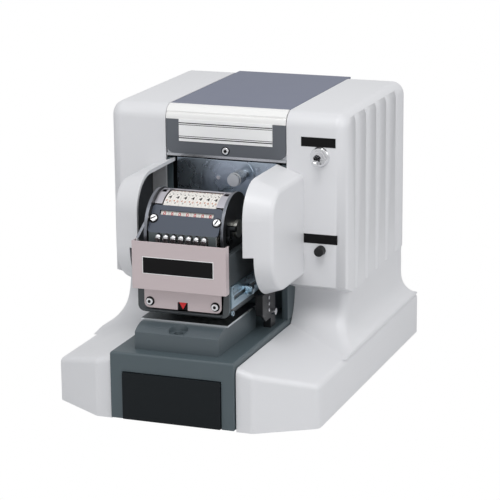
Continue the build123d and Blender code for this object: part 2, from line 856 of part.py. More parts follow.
def scale_plate():
    """Plated scale with a long slot, screwed to the right side of the head."""
    x0, x1 = head_half_width, head_half_width + 1.4
    y0, y1 = head_front + 4, head_rear - 6
    plate = block(x0, x1, y0, y1, scale_bottom, scale_bottom + scale_height)
    slot = block(x0 - 1, x1 + 1, y0 + 6, y1 - 4, scale_bottom + 7, scale_bottom + 11)
    return plate - slot


# ------------------------------------------------------------------ drive
def ram_block():
    """Slide that carries the head, with a turned boss in front and the yoke slot behind."""
    ram = block(-ram_half_width, ram_half_width, ram_front, ram_rear, ram_bottom, ram_top)
    half = head_half_width - 11
    nose = block(-half, half, head_rear, ram_front, ram_bottom, ram_bottom + 64)
    boss = rod_y(boss_radius, ram_front - boss_height, ram_front, 2, ram_top - 19)
    boss = boss & block(-60, 60, 0, ram_rear, ram_top - 47, ram_top)
    yoke = block(-34, 34, ram_rear, yoke_rear, crank_top_z - 26, crank_top_z + 22)
    reach = eccentric_radius + crank_radius + 1.5
    slot = block(
        -reach,
        reach,
        ram_rear,
        yoke_rear + 1,
        crank_top_z - eccentric_radius - yoke_play,
        crank_top_z + eccentric_radius + yoke_play,
    )
    knob_x, knob_z = knob_place
    socket = rod_y(knob_stem_radius + fit_gap, ram_front - 5, ram_front + 6, knob_x, knob_z)
    return ram + nose + boss + yoke - slot - socket


def ram_gibs():
    """Bronze-faced guide strips between the cheeks and the ram."""
    x0 = ram_half_width + 0.1
    x1 = cover_inner_x - cover_seam - cheek_thickness
    strip = block(x0, x1, ram_front + 1, column_front, bed_top + 30, cheek_top - 4)
    return Compound(children=[strip, mirrored(strip)])


def crankshaft():
    """Shaft with an eccentric disc at its front end."""
    shaft = rod_y(crankshaft_radius, yoke_rear - 1, belt_plane_y + 12, 0, crank_axis_z)
    disc = rod_y(eccentric_radius, ram_rear + 0.6, yoke_rear - 0.6, 0, crank_axis_z + crank_radius)
    collar = rod_y(crankshaft_radius + 3, yoke_rear + 0.4, column_front - 0.4, 0, crank_axis_z)
    return shaft + disc + collar


def main_bearings():
    """Two bearing rings in the column walls."""
    rings = []
    for y0 in (column_front, column_rear - column_wall):
        ring = rod_y(crankshaft_radius + 8, y0, y0 + column_wall, 0, crank_axis_z)
        rings.append(ring - rod_y(crankshaft_radius + fit_gap, y0 - 1, y0 + column_wall + 1, 0, crank_axis_z))
    return Compound(children=rings)


def flywheel_pulley():
    """Plain flywheel with a flat belt groove."""
    y0, y1 = belt_plane_y - 7, belt_plane_y + 7
    wheel_body = rod_y(flywheel_radius + 2, y0, y1, 0, crank_axis_z)
    groove = rod_y(flywheel_radius + 3, belt_plane_y - 5, belt_plane_y + 5, 0, crank_axis_z) - rod_y(
        flywheel_radius - 1, belt_plane_y - 6, belt_plane_y + 6, 0, crank_axis_z
    )
    wheel_body -= groove
    return wheel_body - rod_y(crankshaft_radius + seat_gap, y0 - 1, y1 + 1, 0, crank_axis_z)


def motor_pulley():
    """Small pulley on the motor shaft."""
    y0, y1 = belt_plane_y - 7, belt_plane_y + 7
    pulley = rod_y(pulley_radius + 2, y0, y1, 0, motor_axis_z)
    groove = rod_y(pulley_radius + 3, belt_plane_y - 5, belt_plane_y + 5, 0, motor_axis_z) - rod_y(
        pulley_radius - 1, belt_plane_y - 6, belt_plane_y + 6, 0, motor_axis_z
    )
    shaft = rod_y(4, y0, belt_plane_y + 26, 0, motor_axis_z)
    return pulley - groove + shaft


def drive_belt():
    """Flat belt round the two pulleys, running in their grooves."""
    big = flywheel_radius - 1 + running_gap
    small = pulley_radius - 1 + running_gap
    span = crank_axis_z - motor_axis_z
    outer = belt_loop(big + belt_thickness, small + belt_thickness, span)
    inner = belt_loop(big, small, span)
    y0 = belt_plane_y - belt_width / 2
    return Pos(0, y0, 0) * (outer - inner)


def belt_loop(r_big, r_small, span):
    """Solid of an open belt's outline: two discs and the space between their tangents."""
    sine = (r_big - r_small) / span
    cosine = math.sqrt(1 - sine * sine)
    big_z, small_z = crank_axis_z, motor_axis_z
    points = [
        (r_big * cosine, big_z - r_big * sine),
        (r_small * cosine, small_z - r_small * sine),
        (-r_small * cosine, small_z - r_small * sine),
        (-r_big * cosine, big_z - r_big * sine),
    ]
    return (
        slab_y(points, 0, belt_width)
        + rod_y(r_big, 0, belt_width, 0, big_z)
        + rod_y(r_small, 0, belt_width, 0, small_z)
    )


def motor_front_y():
    return belt_plane_y + 14.0


def motor():
    """Motor with end bells and cooling ribs, shaft forward."""
    y0 = motor_front_y()
    body = rod_y(motor_radius, y0, y0 + motor_length - 4, 0, motor_axis_z)
    body = fillet(body.edges().filter_by(GeomType.CIRCLE).sort_by(Axis.Y)[-1], 6)
    nose = rod_y(9, y0 - 3, y0, 0, motor_axis_z)
    return body + nose - rod_y(4 + fit_gap, y0 - 4, y0 + 15, 0, motor_axis_z)


def motor_bracket():
    """Saddle that holds the motor on the bed."""
    y0 = motor_front_y() + 4
    y1 = y0 + motor_length / 2 - 1
    saddle = block(-40, 40, y0, y1, bed_top, motor_axis_z - 6)
    return saddle - rod_y(motor_radius + fit_gap, y0 - 1, y1 + 1, 0, motor_axis_z)


# ------------------------------------------------------------------ controls
def switch_bushing():
    """Stepped round bezel and nut of the power switch, with the switch body behind the cover."""
    y = tower_front
    bezel = Pos(switch_x, y, switch_z) * Rot(90, 0, 0) * Cone(
        toggle_bezel_radius, toggle_bezel_radius - 1.2, 2.2, align=(Align.CENTER, Align.CENTER, Align.MIN)
    )
    hexagon = RegularPolygon(toggle_nut_radius, 6)
    nut = Pos(switch_x, y - 2.2, switch_z) * Rot(90, 0, 0) * extrude(hexagon, 2.6)
    stem = rod_y(toggle_stem_radius, y - 8.0, y - 4.8, switch_x, switch_z)
    neck = rod_y(toggle_stem_radius + 1.5, y, y + cover_wall, switch_x, switch_z)
    box = block(switch_x - 8, switch_x + 8, y + cover_wall, y + 30, switch_z - 12, switch_z + 12)
    cone = Pos(switch_x, y - 9.0, switch_z) * Rot(-90, 0, 0) * Cone(
        3.9, 2.6, 10.0, align=(Align.CENTER, Align.CENTER, Align.MIN)
    )
    return bezel + nut + stem + neck + box - cone


def toggle_lever():
    """Bat-shaped lever that tips up and down on a cross pin in its bushing."""
    y = tower_front - 1.0
    bat = Pos(switch_x, y, switch_z) * Rot(90, 0, 0) * Cone(
        1.4, 2.6, toggle_length, align=(Align.CENTER, Align.CENTER, Align.MIN)
    )
    tip = Pos(switch_x, y - toggle_length, switch_z) * Sphere(2.6)
    cross_pin = rod_x(1.2, switch_x - 2.2, switch_x + 2.2, y, switch_z)
    bat = bat + tip + cross_pin
    return bat.rotate(Axis((switch_x, y, switch_z), (1, 0, 0)), 12)


def start_button():
    """Push button with a stem through the cover and a retaining flange inside."""
    y = tower_front
    cap = rod_y(button_radius, y - button_proud, y - 0.3 + 1, switch_x + 1, button_z)
    cap = fillet(cap.edges().filter_by(GeomType.CIRCLE).sort_by(Axis.Y)[0], 0.8)
    stem = rod_y(button_radius, y, y + cover_wall + 3, switch_x + 1, button_z)
    inner_y = y + cover_wall
    flange = rod_y(button_radius + 2, inner_y + running_gap, inner_y + 3, switch_x + 1, button_z)
    return cap + stem + flange


def start_switch():
    """Small switch behind the start button, on an angle fixed inside the cover."""
    y = tower_front + cover_wall
    x = switch_x + 1
    body = block(x - 7, x + 7, y + 3.3 + button_travel, y + 20, button_z - 10, button_z + 10)
    for side in (-1, 1):
        z0, z1 = sorted((button_z + side * 10, button_z + side * 14))
        body += block(x - 7, x + 7, y, y + 20, z0, z1)
    return body


def clamp_knob():
    """Knurled knob of the head clamp on its stem."""
    x, z = knob_place
    stem = rod_y(knob_stem_radius, ram_front - 14, ram_front + 5, x, z)
    grip = rod_y(6.6, ram_front - 26, ram_front - 12, x, z)
    cap = rod_y(5.9, ram_front - 30, ram_front - 26, x, z)
    return stem + grip + cap


def gauge_bracket():
    """Black bracket for the paper side gauge: a flange, a side plate and a foot on the bed."""
    x0, x1 = bracket_x, bracket_x + bracket_width
    flange = block(x0, x1, bracket_front, bracket_front + sheet, 83, bracket_top)
    side = slab_x(
        [
            (bracket_front, 83),
            (bracket_front + 8, 76),
            (bracket_rear, 76),
            (bracket_rear, bracket_top),
            (bracket_front, bracket_top),
        ],
        x1 - 2.5,
        x1,
    )
    foot = block(x0, x1, bracket_rear - 13, bracket_rear, bed_top, 84)
    return flange + side + foot


def gauge_slider():
    """Thumb screw and shoe that run in the slot of the scale plate."""
    x = head_half_width + 1.4
    y, z = wheel_axis_y + 2, scale_bottom + 9
    shoe = rod_x(1.6, head_half_width + 0.3, x + 2, y, z)
    head = rod_x(5.2, x + 0.3, x + 2.0, y, z)
    grip = rod_x(4.2, x + 2.0, x + 6.5, y, z)
    return shoe + head + grip


def side_lever():
    """Lever on the right of the head that chooses how the wheels advance."""
    x0 = side_plate_x + side_plate_thickness + 0.3
    y, z = wheel_axis_y - 22, wheel_axis_z - 4.6
    hub = rod_x(5, x0, x0 + 3, y, z)
    arm = slab_x([(y - 4, z - 2), (y - 4, z + 12), (y + 2, z + 12), (y + 4, z)], x0, x0 + 3)
    knob = rod_x(2.8, x0 + 3, x0 + 8, y - 1, z + 10)
    return hub + arm + knob - rod_x(1.5 + fit_gap, x0 - 1, x0 + 4, y, z)


def chip_drawer():
    """Drawer that catches the punched dots."""
    w = drawer_half_width - running_gap
    z0, z1 = bed_bottom + running_gap, drawer_top - 2
    tray = block(-w, w, -drawer_proud + 3, drawer_depth, z0, z1)
    inside = block(-w + 1.5, w - 1.5, 3, drawer_depth - 1.5, z0 + 1.5, z1 + 1)
    return tray - inside


def drawer_front():
    """Flat black front of the drawer."""
    w, z0 = drawer_half_width, bed_bottom + running_gap
    plate = block(-w, w, -drawer_proud, 1, z0, drawer_top)
    return fillet(plate.edges().filter_by(Axis.Y), 1.0)


def case_screws():
    """Screws of the front panel, die block, gauge bracket and rear panel."""
    screws = [socket_screw_y(0, tower_front - 1.2, panel_bottom + 5.2, 3.4, 1.2, 3)]
    die_screw = rod_z(4.2, bed_top + 6, bed_top + 13, 0, die_screw_y)
    screws.append(die_screw - rod_z(2.2, bed_top + 9, bed_top + 14, 0, die_screw_y))
    x = bracket_x + bracket_width
    for z in (98, 92, 86):
        screws.append(rod_x(1.7, x, x + 1.5, bracket_front + 14, z))
    screws.append(rod_x(3.2, x, x + 4.5, bracket_front + 24, 82))
    for x in (-54, 54):
        for z in (20, tower_top * 0.52, tower_top - 13.5):
            screws.append(rod_y(3.0, tower_rear - 0.5, tower_rear + 1.2, x, z))
    return Compound(children=screws)


# ------------------------------------------------------------------ export
def build():
    """Every part by node name."""
    right = plain_cover()
    left = mirrored(right)
    y0, y1 = tower_front - 1, tower_front + cover_wall + 1
    switch_hole = rod_y(toggle_stem_radius + 1.6, y0, y1, switch_x, switch_z)
    button_hole = rod_y(button_radius + running_gap, y0, y1, switch_x + 1, button_z)
    parts = {
        "frame_casting": frame_casting(),
        "bottom_plate": bottom_plate(),
        "rubber_feet": rubber_feet(),
        "cover_right": right - switch_hole - button_hole,
        "cover_left": left,
        "top_plate": top_plate(),
        "front_trim": front_trim(),
        "front_panel": front_panel(),
        "panel_carrier": panel_carrier(),
        "rear_panel": rear_panel(),
        "power_inlet": power_inlet(),
        "case_screws": case_screws(),
        "die_block": die_block(),
        "die_plate": die_plate(),
        "ram_gibs": ram_gibs(),
        "main_bearings": main_bearings(),
        "motor": motor(),
        "motor_bracket": motor_bracket(),
        "drive_belt": drive_belt(),
        "switch_bushing": switch_bushing(),
        "start_switch": start_switch(),
        "gauge_bracket": gauge_bracket(),
        "crankshaft": crankshaft(),
        "flywheel_pulley": flywheel_pulley(),
        "motor_pulley": motor_pulley(),
        "ram_block": ram_block(),
        "head_frame": head_frame(),
        "side_plate_left": side_plate(left_rim_radius, left_rim_shift, True),
        "side_plate_right": side_plate(right_rim_radius, (0, 0), False),
        "drum_cover": drum_cover(),
        "index_plate": index_plate(),
        "head_screws": head_screws(),
        "front_plate": front_plate(),
        "lower_plate": lower_plate(),
        "pin_block": pin_block(),
        "punch_pins": punch_pins(),
        "head_shafts": head_shafts(),
        "scale_plate": scale_plate(),
        "clamp_knob": clamp_knob(),
        "gauge_slider": gauge_slider(),
        "side_lever": side_lever(),
        "toggle_lever": toggle_lever(),
        "start_button": start_button(),
        "chip_drawer": chip_drawer(),
        "drawer_front": drawer_front(),
    }
    for i in range(wheel_count):
        parts[f"number_wheel_{i + 1}"] = wheel(i)
        parts[f"finger_lever_{i + 1}"] = finger_lever(i)
    return parts


for node, shape in build().items():
    export_step(origin * shape, f"parts/{node}.step")
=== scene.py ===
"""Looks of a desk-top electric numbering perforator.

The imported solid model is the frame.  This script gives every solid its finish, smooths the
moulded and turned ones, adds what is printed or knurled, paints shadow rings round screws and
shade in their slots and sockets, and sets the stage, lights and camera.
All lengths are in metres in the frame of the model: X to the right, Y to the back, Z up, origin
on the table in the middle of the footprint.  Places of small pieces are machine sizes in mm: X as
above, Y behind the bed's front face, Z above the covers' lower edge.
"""

from __future__ import annotations

import json
import logging
import math
from dataclasses import dataclass, field
from enum import Enum
from typing import Callable, Iterable, Sequence

import bmesh
import bpy
import numpy as np
from mathutils import Matrix, Vector

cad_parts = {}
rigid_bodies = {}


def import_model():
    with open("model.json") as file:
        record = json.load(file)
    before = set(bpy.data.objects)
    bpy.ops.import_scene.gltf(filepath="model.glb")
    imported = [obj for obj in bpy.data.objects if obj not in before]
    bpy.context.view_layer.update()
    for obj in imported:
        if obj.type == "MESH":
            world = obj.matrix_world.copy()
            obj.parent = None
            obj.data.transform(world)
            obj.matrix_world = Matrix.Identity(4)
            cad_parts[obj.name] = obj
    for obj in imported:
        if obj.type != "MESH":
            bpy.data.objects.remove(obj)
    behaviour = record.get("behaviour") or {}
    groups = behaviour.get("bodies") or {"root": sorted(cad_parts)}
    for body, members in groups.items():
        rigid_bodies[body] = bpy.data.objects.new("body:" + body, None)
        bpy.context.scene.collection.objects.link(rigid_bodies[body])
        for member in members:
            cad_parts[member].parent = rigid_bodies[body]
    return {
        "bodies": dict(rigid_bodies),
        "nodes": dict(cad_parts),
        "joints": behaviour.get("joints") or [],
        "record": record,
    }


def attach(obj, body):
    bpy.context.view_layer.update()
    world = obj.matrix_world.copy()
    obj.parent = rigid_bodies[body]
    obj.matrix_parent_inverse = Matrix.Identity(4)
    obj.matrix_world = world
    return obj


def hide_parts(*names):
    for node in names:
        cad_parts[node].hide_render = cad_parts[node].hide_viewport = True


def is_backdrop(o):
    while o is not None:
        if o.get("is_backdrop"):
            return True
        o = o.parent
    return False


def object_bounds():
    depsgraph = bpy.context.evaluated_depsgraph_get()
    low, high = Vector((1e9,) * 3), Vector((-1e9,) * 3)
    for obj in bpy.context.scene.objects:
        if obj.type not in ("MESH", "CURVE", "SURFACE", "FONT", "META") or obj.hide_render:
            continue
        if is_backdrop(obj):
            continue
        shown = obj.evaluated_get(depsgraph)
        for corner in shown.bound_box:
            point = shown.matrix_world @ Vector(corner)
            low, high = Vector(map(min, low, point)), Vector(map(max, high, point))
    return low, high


LOG = logging.getLogger("perforator")
MM = 0.001
FRONT_Y = -182.0     # the bed's front face in the frame of the model, mm
FOOT_Z = 5.0         # the covers' lower edge in the frame of the model, mm
WHEEL_COUNT = 7

Color = tuple[float, float, float]
Array = np.ndarray
Outline = Sequence[tuple[float, float]]
Shape = tuple[Array, list[tuple[int, ...]]]
Rule = Callable[[Vector, Vector], bool]

ACROSS = np.array([1.0, 0.0, 0.0])
BACK = np.array([0.0, 1.0, 0.0])
UP = np.array([0.0, 0.0, 1.0])


def place(x: float, y: float, z: float) -> Vector:
    """Point of the model in metres from machine sizes in mm.

    Args:
        x: millimetres to the operator's right of the centre plane.
        y: millimetres behind the bed's front face.
        z: millimetres above the covers' lower edge.

    Returns:
        The point in metres in the frame of the model.
    """
    return Vector((x * MM, (y + FRONT_Y) * MM, (z + FOOT_Z) * MM))


def linear(red: float, green: float, blue: float) -> Color:
    """Linear colour from display values of 0 to 255."""
    def channel(value: float) -> float:
        c = value / 255.0
        return c / 12.92 if c <= 0.04045 else ((c + 0.055) / 1.055) ** 2.4
    return (channel(red), channel(green), channel(blue))


# --------------------------------------------------------------------------- shader groups
def feed(tree: bpy.types.NodeTree, node: bpy.types.Node, inputs: dict[str | int, object]) -> None:
    """Sets inputs of a node.

    Args:
        tree: tree that holds it.
        node: the node.
        inputs: value of each input, or the socket that is linked to it, by name or number.
    """
    for key, value in inputs.items():
        if isinstance(value, bpy.types.NodeSocket):
            tree.links.new(value, node.inputs[key])
        else:
            node.inputs[key].default_value = value


def add_node(
    tree: bpy.types.NodeTree, kind: str, inputs: dict[str | int, object], operation: str = ""
) -> bpy.types.Node:
    """New node with inputs and, where it has one, its operation."""
    node = tree.nodes.new(f"ShaderNode{kind}")
    if operation:
        node.operation = operation
    feed(tree, node, inputs)
    return node


def math_node(tree: bpy.types.NodeTree, operation: str, *values: object) -> bpy.types.NodeSocket:
    """Output of a math node fed by sockets and numbers."""
    return add_node(tree, "Math", dict(enumerate(values)), operation).outputs[0]


def light_path(tree: bpy.types.NodeTree, question: str) -> bpy.types.NodeSocket:
    """One, where a ray is of the kind that is asked for, and else zero."""
    return tree.nodes.new("ShaderNodeLightPath").outputs[question]


class Effect(Enum):
    """Surface effects that several finishes share."""

    MOTTLE = "Mottle"
    GRAIN = "DirectionGrain"
    PEEL = "OrangePeel"
    RINGS = "TurnedRings"
    KNURL = "Knurl"


class Direction(Enum):
    """Direction in which a metal was ground or brushed, as a squeeze of the coordinates."""

    X = (0.04, 1.0, 1.0)
    Y = (1.0, 0.04, 1.0)


class Turned(Enum):
    """Axis of a turned surface, with the two coordinates across it and the one along it."""

    ABOUT_X = ("Y", "Z", "X")
    ABOUT_Y = ("X", "Z", "Y")


@dataclass(frozen=True)
class Relief:
    """Pattern that was turned or rolled into a round piece.

    Attributes:
        effect: rings or knurl.
        turned: axis of the piece.
        centre: point on that axis, in metres.
        pitch: distance between grooves, in metres.
        count: grooves round the piece, for a knurl.
        strength: bump strength.
        depth: height of the bump, in metres.
    """

    effect: Effect
    turned: Turned
    centre: tuple[float, float, float]
    pitch: float
    count: float = 1.0
    strength: float = 0.5
    depth: float = 0.3 * MM


@dataclass
class EffectLibrary:
    """Node groups, each built once and placed in the materials that use it."""

    groups: dict[Effect, bpy.types.NodeTree] = field(default_factory=dict)

    def get(self, effect: Effect) -> bpy.types.NodeTree:
        """Node group of an effect, built on first use."""
        if effect not in self.groups:
            builders: dict[Effect, Callable[[], bpy.types.NodeTree]] = {
                Effect.MOTTLE: self._mottle,
                Effect.GRAIN: self._grain,
                Effect.PEEL: self._peel,
                Effect.RINGS: self._rings,
                Effect.KNURL: self._knurl,
            }
            self.groups[effect] = builders[effect]()
        return self.groups[effect]

    @staticmethod
    def _tree(
        effect: Effect, inputs: dict[str, float | tuple[float, ...]], outputs: Sequence[str] = ("Height",)
    ) -> tuple[bpy.types.NodeTree, bpy.types.NodeOutputs, bpy.types.Node]:
        """Empty group with named sockets.

        Args:
            effect: the effect that it makes.
            inputs: default of each input; three numbers are a vector, four a colour.
            outputs: names of the outputs; all but a colour are numbers.

        Returns:
            The tree, the outputs of its group input node and its group output node.
        """
        tree = bpy.data.node_groups.new(effect.value, "ShaderNodeTree")
        kinds = {1: "NodeSocketFloat", 3: "NodeSocketVector", 4: "NodeSocketColor"}
        for label, value in inputs.items():
            kind = kinds[np.size(value)]
            socket = tree.interface.new_socket(label, in_out="INPUT", socket_type=kind)
            socket.default_value = value
        for label in outputs:
            kind = kinds[4 if label == "Color" else 1]
            tree.interface.new_socket(label, in_out="OUTPUT", socket_type=kind)
        return tree, tree.nodes.new("NodeGroupInput").outputs, tree.nodes.new("NodeGroupOutput")

    def _mottle(self) -> bpy.types.NodeTree:
        """Slow drift of a colour and a roughness, as dust and handling leave on a plain surface."""
        tree, given, result = self._tree(
            Effect.MOTTLE,
            {
                "Vector": (0.0, 0.0, 0.0),
                "Color": (0.5, 0.5, 0.5, 1.0),
                "Amount": 0.05,
                "Scale": 30.0,
                "Roughness": 0.4,
                "Roughness Drift": 0.06,
            },
            ("Color", "Roughness"),
        )
        noise = add_node(
            tree, "TexNoise", {"Vector": given["Vector"], "Scale": given["Scale"], "Detail": 5.0}
        )
        drift = math_node(tree, "SUBTRACT", noise.outputs["Fac"], 0.5)
        shade = math_node(tree, "MULTIPLY_ADD", drift, given["Amount"], 1.0)
        tint = add_node(tree, "VectorMath", {0: given["Color"], "Scale": shade}, "SCALE")
        rough = math_node(tree, "MULTIPLY_ADD", drift, given["Roughness Drift"], given["Roughness"])
        feed(tree, result, {"Color": tint.outputs[0], "Roughness": rough})
        return tree

    def _grain(self) -> bpy.types.NodeTree:
        """Fine lines along one direction: noise on coordinates that are squeezed along the lines."""
        tree, given, result = self._tree(
            Effect.GRAIN,
            {
                "Vector": (0.0, 0.0, 0.0),
                "Direction": (1.0, 1.0, 1.0),
                "Scale": 1800.0,
                "Roughness": 0.3,
                "Contrast": 0.2,
            },
            ("Height", "Roughness"),
        )
        squeezed = add_node(tree, "VectorMath", {0: given["Vector"], 1: given["Direction"]}, "MULTIPLY")
        noise = add_node(
            tree, "TexNoise", {"Vector": squeezed.outputs[0], "Scale": given["Scale"], "Detail": 3.0}
        )
        drift = math_node(tree, "SUBTRACT", noise.outputs["Fac"], 0.5)
        rough = math_node(tree, "MULTIPLY_ADD", drift, given["Contrast"], given["Roughness"])
        feed(tree, result, {"Height": noise.outputs["Fac"], "Roughness": rough})
        return tree

    def _peel(self) -> bpy.types.NodeTree:
        """Height of the faint dimples of sprayed enamel or a moulding's skin."""
        tree, given, result = self._tree(Effect.PEEL, {"Vector": (0.0, 0.0, 0.0), "Scale": 700.0})
        noise = add_node(
            tree,
            "TexNoise",
            {"Vector": given["Vector"], "Scale": given["Scale"], "Detail": 2.0, "Roughness": 0.6},
        )
        feed(tree, result, {"Height": noise.outputs["Fac"]})
        return tree

    def _round_tree(
        self, effect: Effect
    ) -> tuple[bpy.types.NodeTree, bpy.types.NodeOutputs, bpy.types.Node]:
        """Empty group for a pattern round an axis, with the inputs that all such patterns take."""
        return self._tree(effect, {"Across": 0.0, "Up": 0.0, "Along": 0.0, "Pitch": 1.0 * MM, "Count": 1.0})

    def _rings(self) -> bpy.types.NodeTree:
        """Height of concentric grooves: a sine of the distance from the axis."""
        tree, given, result = self._round_tree(Effect.RINGS)
        square = math_node(tree, "MULTIPLY", given["Across"], given["Across"])
        total = math_node(tree, "MULTIPLY_ADD", given["Up"], given["Up"], square)
        turns = math_node(tree, "DIVIDE", math_node(tree, "SQRT", total), given["Pitch"])
        angle = math_node(tree, "MULTIPLY", turns, 2.0 * math.pi)
        feed(tree, result, {"Height": math_node(tree, "SINE", angle)})
        return tree

    def _knurl(self) -> bpy.types.NodeTree:
        """Height of a diamond knurl: the lower of two sets of slanted ridges round the axis."""
        tree, given, result = self._round_tree(Effect.KNURL)
        angle = math_node(tree, "ARCTAN2", given["Up"], given["Across"])
        share = math_node(tree, "DIVIDE", angle, 2.0 * math.pi)
        ridges = math_node(tree, "MULTIPLY", share, given["Count"])
        rise = math_node(tree, "DIVIDE", given["Along"], given["Pitch"])
        left = math_node(tree, "PINGPONG", math_node(tree, "ADD", ridges, rise), 0.5)
        right = math_node(tree, "PINGPONG", math_node(tree, "SUBTRACT", ridges, rise), 0.5)
        feed(tree, result, {"Height": math_node(tree, "MINIMUM", left, right)})
        return tree


# --------------------------------------------------------------------------- finishes
@dataclass(frozen=True)
class Finish:
    """Values of one finish.

    Attributes:
        name: material name.
        color: linear base colour.
        roughness: mean roughness.
        metallic: 0 for paint and plastic, 1 for bare metal.
        drift: how far the roughness drifts, where there is no grain.
        mottle: relative drift of the colour.
        mottle_scale: scale of that drift, per metre.
        peel: bump strength of the skin, 0 for none.
        peel_scale: dimples per metre, roughly.
        grain: bump strength of brushed lines, 0 for none.
        direction: direction of those lines.
        coat: weight of a clear coat.
        gloss: specular level of a paint or plastic.
        relief: turned or rolled pattern, if there is one.
    """

    name: str
    color: Color
    roughness: float
    metallic: float = 0.0
    drift: float = 0.05
    mottle: float = 0.05
    mottle_scale: float = 60.0
    peel: float = 0.0
    peel_scale: float = 1500.0
    grain: float = 0.0
    direction: Direction = Direction.X
    coat: float = 0.0
    gloss: float = 0.5
    relief: Relief | None = None

    def build(self, effects: EffectLibrary) -> bpy.types.Material:
        """Node material of this finish.

        Args:
            effects: the shared node groups.

        Returns:
            The material.
        """
        material = bpy.data.materials.new(self.name)
        material.use_nodes = True
        tree = material.node_tree
        shader = tree.nodes["Principled BSDF"]
        point = tree.nodes.new("ShaderNodeTexCoord").outputs["Object"]
        mottle = self._group(tree, effects, Effect.MOTTLE, {
            "Vector": point,
            "Color": (*self.color, 1.0),
            "Amount": self.mottle,
            "Scale": self.mottle_scale,
            "Roughness": self.roughness,
            "Roughness Drift": self.drift,
        })
        feed(tree, shader, {
            "Base Color": mottle["Color"],
            "Metallic": self.metallic,
            "Coat Weight": self.coat,
            "Coat Roughness": 0.08,
            "Specular IOR Level": self.gloss,
        })
        if self.grain > 0.0:
            squeeze = {"Vector": point, "Direction": self.direction.value, "Roughness": self.roughness}
            grain = self._group(tree, effects, Effect.GRAIN, squeeze)
            feed(tree, shader, {"Roughness": grain["Roughness"]})
            self._bump(tree, shader, grain["Height"], self.grain, 0.04 * MM)
        else:
            feed(tree, shader, {"Roughness": mottle["Roughness"]})
        if self.peel > 0.0:
            peel = self._group(tree, effects, Effect.PEEL, {"Vector": point, "Scale": self.peel_scale})
            self._bump(tree, shader, peel["Height"], self.peel, 0.2 * MM)
        if self.relief is not None:
            height = self._relief_height(tree, effects, point, self.relief)
            self._bump(tree, shader, height, self.relief.strength, self.relief.depth)
        return material

    @staticmethod
    def _group(
        tree: bpy.types.NodeTree, effects: EffectLibrary, effect: Effect, inputs: dict[str | int, object]
    ) -> bpy.types.NodeOutputs:
        """Outputs of a node that places a shared effect in a material."""
        node = tree.nodes.new("ShaderNodeGroup")
        node.node_tree = effects.get(effect)
        feed(tree, node, inputs)
        return node.outputs

    @staticmethod
    def _relief_height(
        tree: bpy.types.NodeTree, effects: EffectLibrary, point: bpy.types.NodeSocket, relief: Relief
    ) -> bpy.types.NodeSocket:
        """Height of a turned or rolled pattern, on coordinates from a point of the piece's axis."""
        offset = add_node(tree, "VectorMath", {0: point, 1: relief.centre}, "SUBTRACT")
        parts = add_node(tree, "SeparateXYZ", {0: offset.outputs[0]}).outputs
        inputs = {label: parts[axis] for label, axis in zip(("Across", "Up", "Along"), relief.turned.value)}
        inputs |= {"Pitch": relief.pitch, "Count": relief.count}
        return Finish._group(tree, effects, relief.effect, inputs)["Height"]

    @staticmethod
    def _bump(
        tree: bpy.types.NodeTree,
        shader: bpy.types.Node,
        height: bpy.types.NodeSocket,
        strength: float,
        distance: float,
    ) -> None:
        """Bump from a height to the shader's normal, over the bumps that are there already.

        Args:
            tree: the material's node tree.
            shader: its Principled BSDF.
            height: socket that gives the height.
            strength: bump strength.
            distance: height of the bump in metres.
        """
        bump = add_node(tree, "Bump", {"Strength": strength, "Distance": distance, "Height": height})
        if shader.inputs["Normal"].is_linked:
            feed(tree, bump, {"Normal": shader.inputs["Normal"].links[0].from_socket})
        feed(tree, shader, {"Normal": bump.outputs["Normal"]})


def paint(name: str, shade: Color, roughness: float, **more: float) -> Finish:
    """Finish of a paint, plastic or ink.

    Args:
        name: material name.
        shade: colour in display values of 0 to 255.
        roughness: mean roughness.
        **more: other values of the finish.

    Returns:
        The finish.
    """
    return Finish(name, linear(*shade), roughness, **more)


def metal(name: str, shade: Color, roughness: float, **more: float | Direction | Relief) -> Finish:
    """Finish of a bare metal, from the same values as a paint."""
    return Finish(name, linear(*shade), roughness, metallic=1.0, **more)


RAM_RINGS = Relief(Effect.RINGS, Turned.ABOUT_Y, tuple(place(2, 144.8, 200)), 5.6 * MM, strength=0.05)
KNOB_KNURL = Relief(Effect.KNURL, Turned.ABOUT_Y, tuple(place(18, 130, 207)), 1.6 * MM, 34, 0.8)
THUMB_KNURL = Relief(Effect.KNURL, Turned.ABOUT_X, tuple(place(50, 74, 115)), 3.0 * MM, 26, 0.6)
STRAP_RINGS = Relief(Effect.RINGS, Turned.ABOUT_X, tuple(place(-38, 68, 170)), 1.6 * MM, strength=0.35)

# housing and bed
WHITE_COVER = paint(
    "white_cover", (226, 226, 228), 0.36, mottle=0.015, mottle_scale=12, peel=0.1, peel_scale=900
)
# painted shade: dark grey on the inner faces of the covers' head guards, in the recess round the head
GUARD_INSIDE_SHADE = paint("guard_inside_shade", (52, 55, 58), 0.6, mottle_scale=40, peel=0.1, peel_scale=900)
BED_PAINT = paint("bed_paint", (78, 90, 95), 0.42, drift=0.06, mottle_scale=30, peel=0.25, peel_scale=1100)
TOP_PAINT = paint(
    "top_paint", (98, 104, 126), 0.42, mottle=0.03, mottle_scale=20, peel=0.15, peel_scale=1100
)
PANEL_PAINT = paint(
    "panel_paint", (96, 100, 106), 0.38, mottle=0.04, mottle_scale=30, peel=0.2, peel_scale=1100
)
LIP_METAL = metal("lip_metal", (196, 198, 202), 0.28, mottle=0.03, mottle_scale=30, grain=0.08)
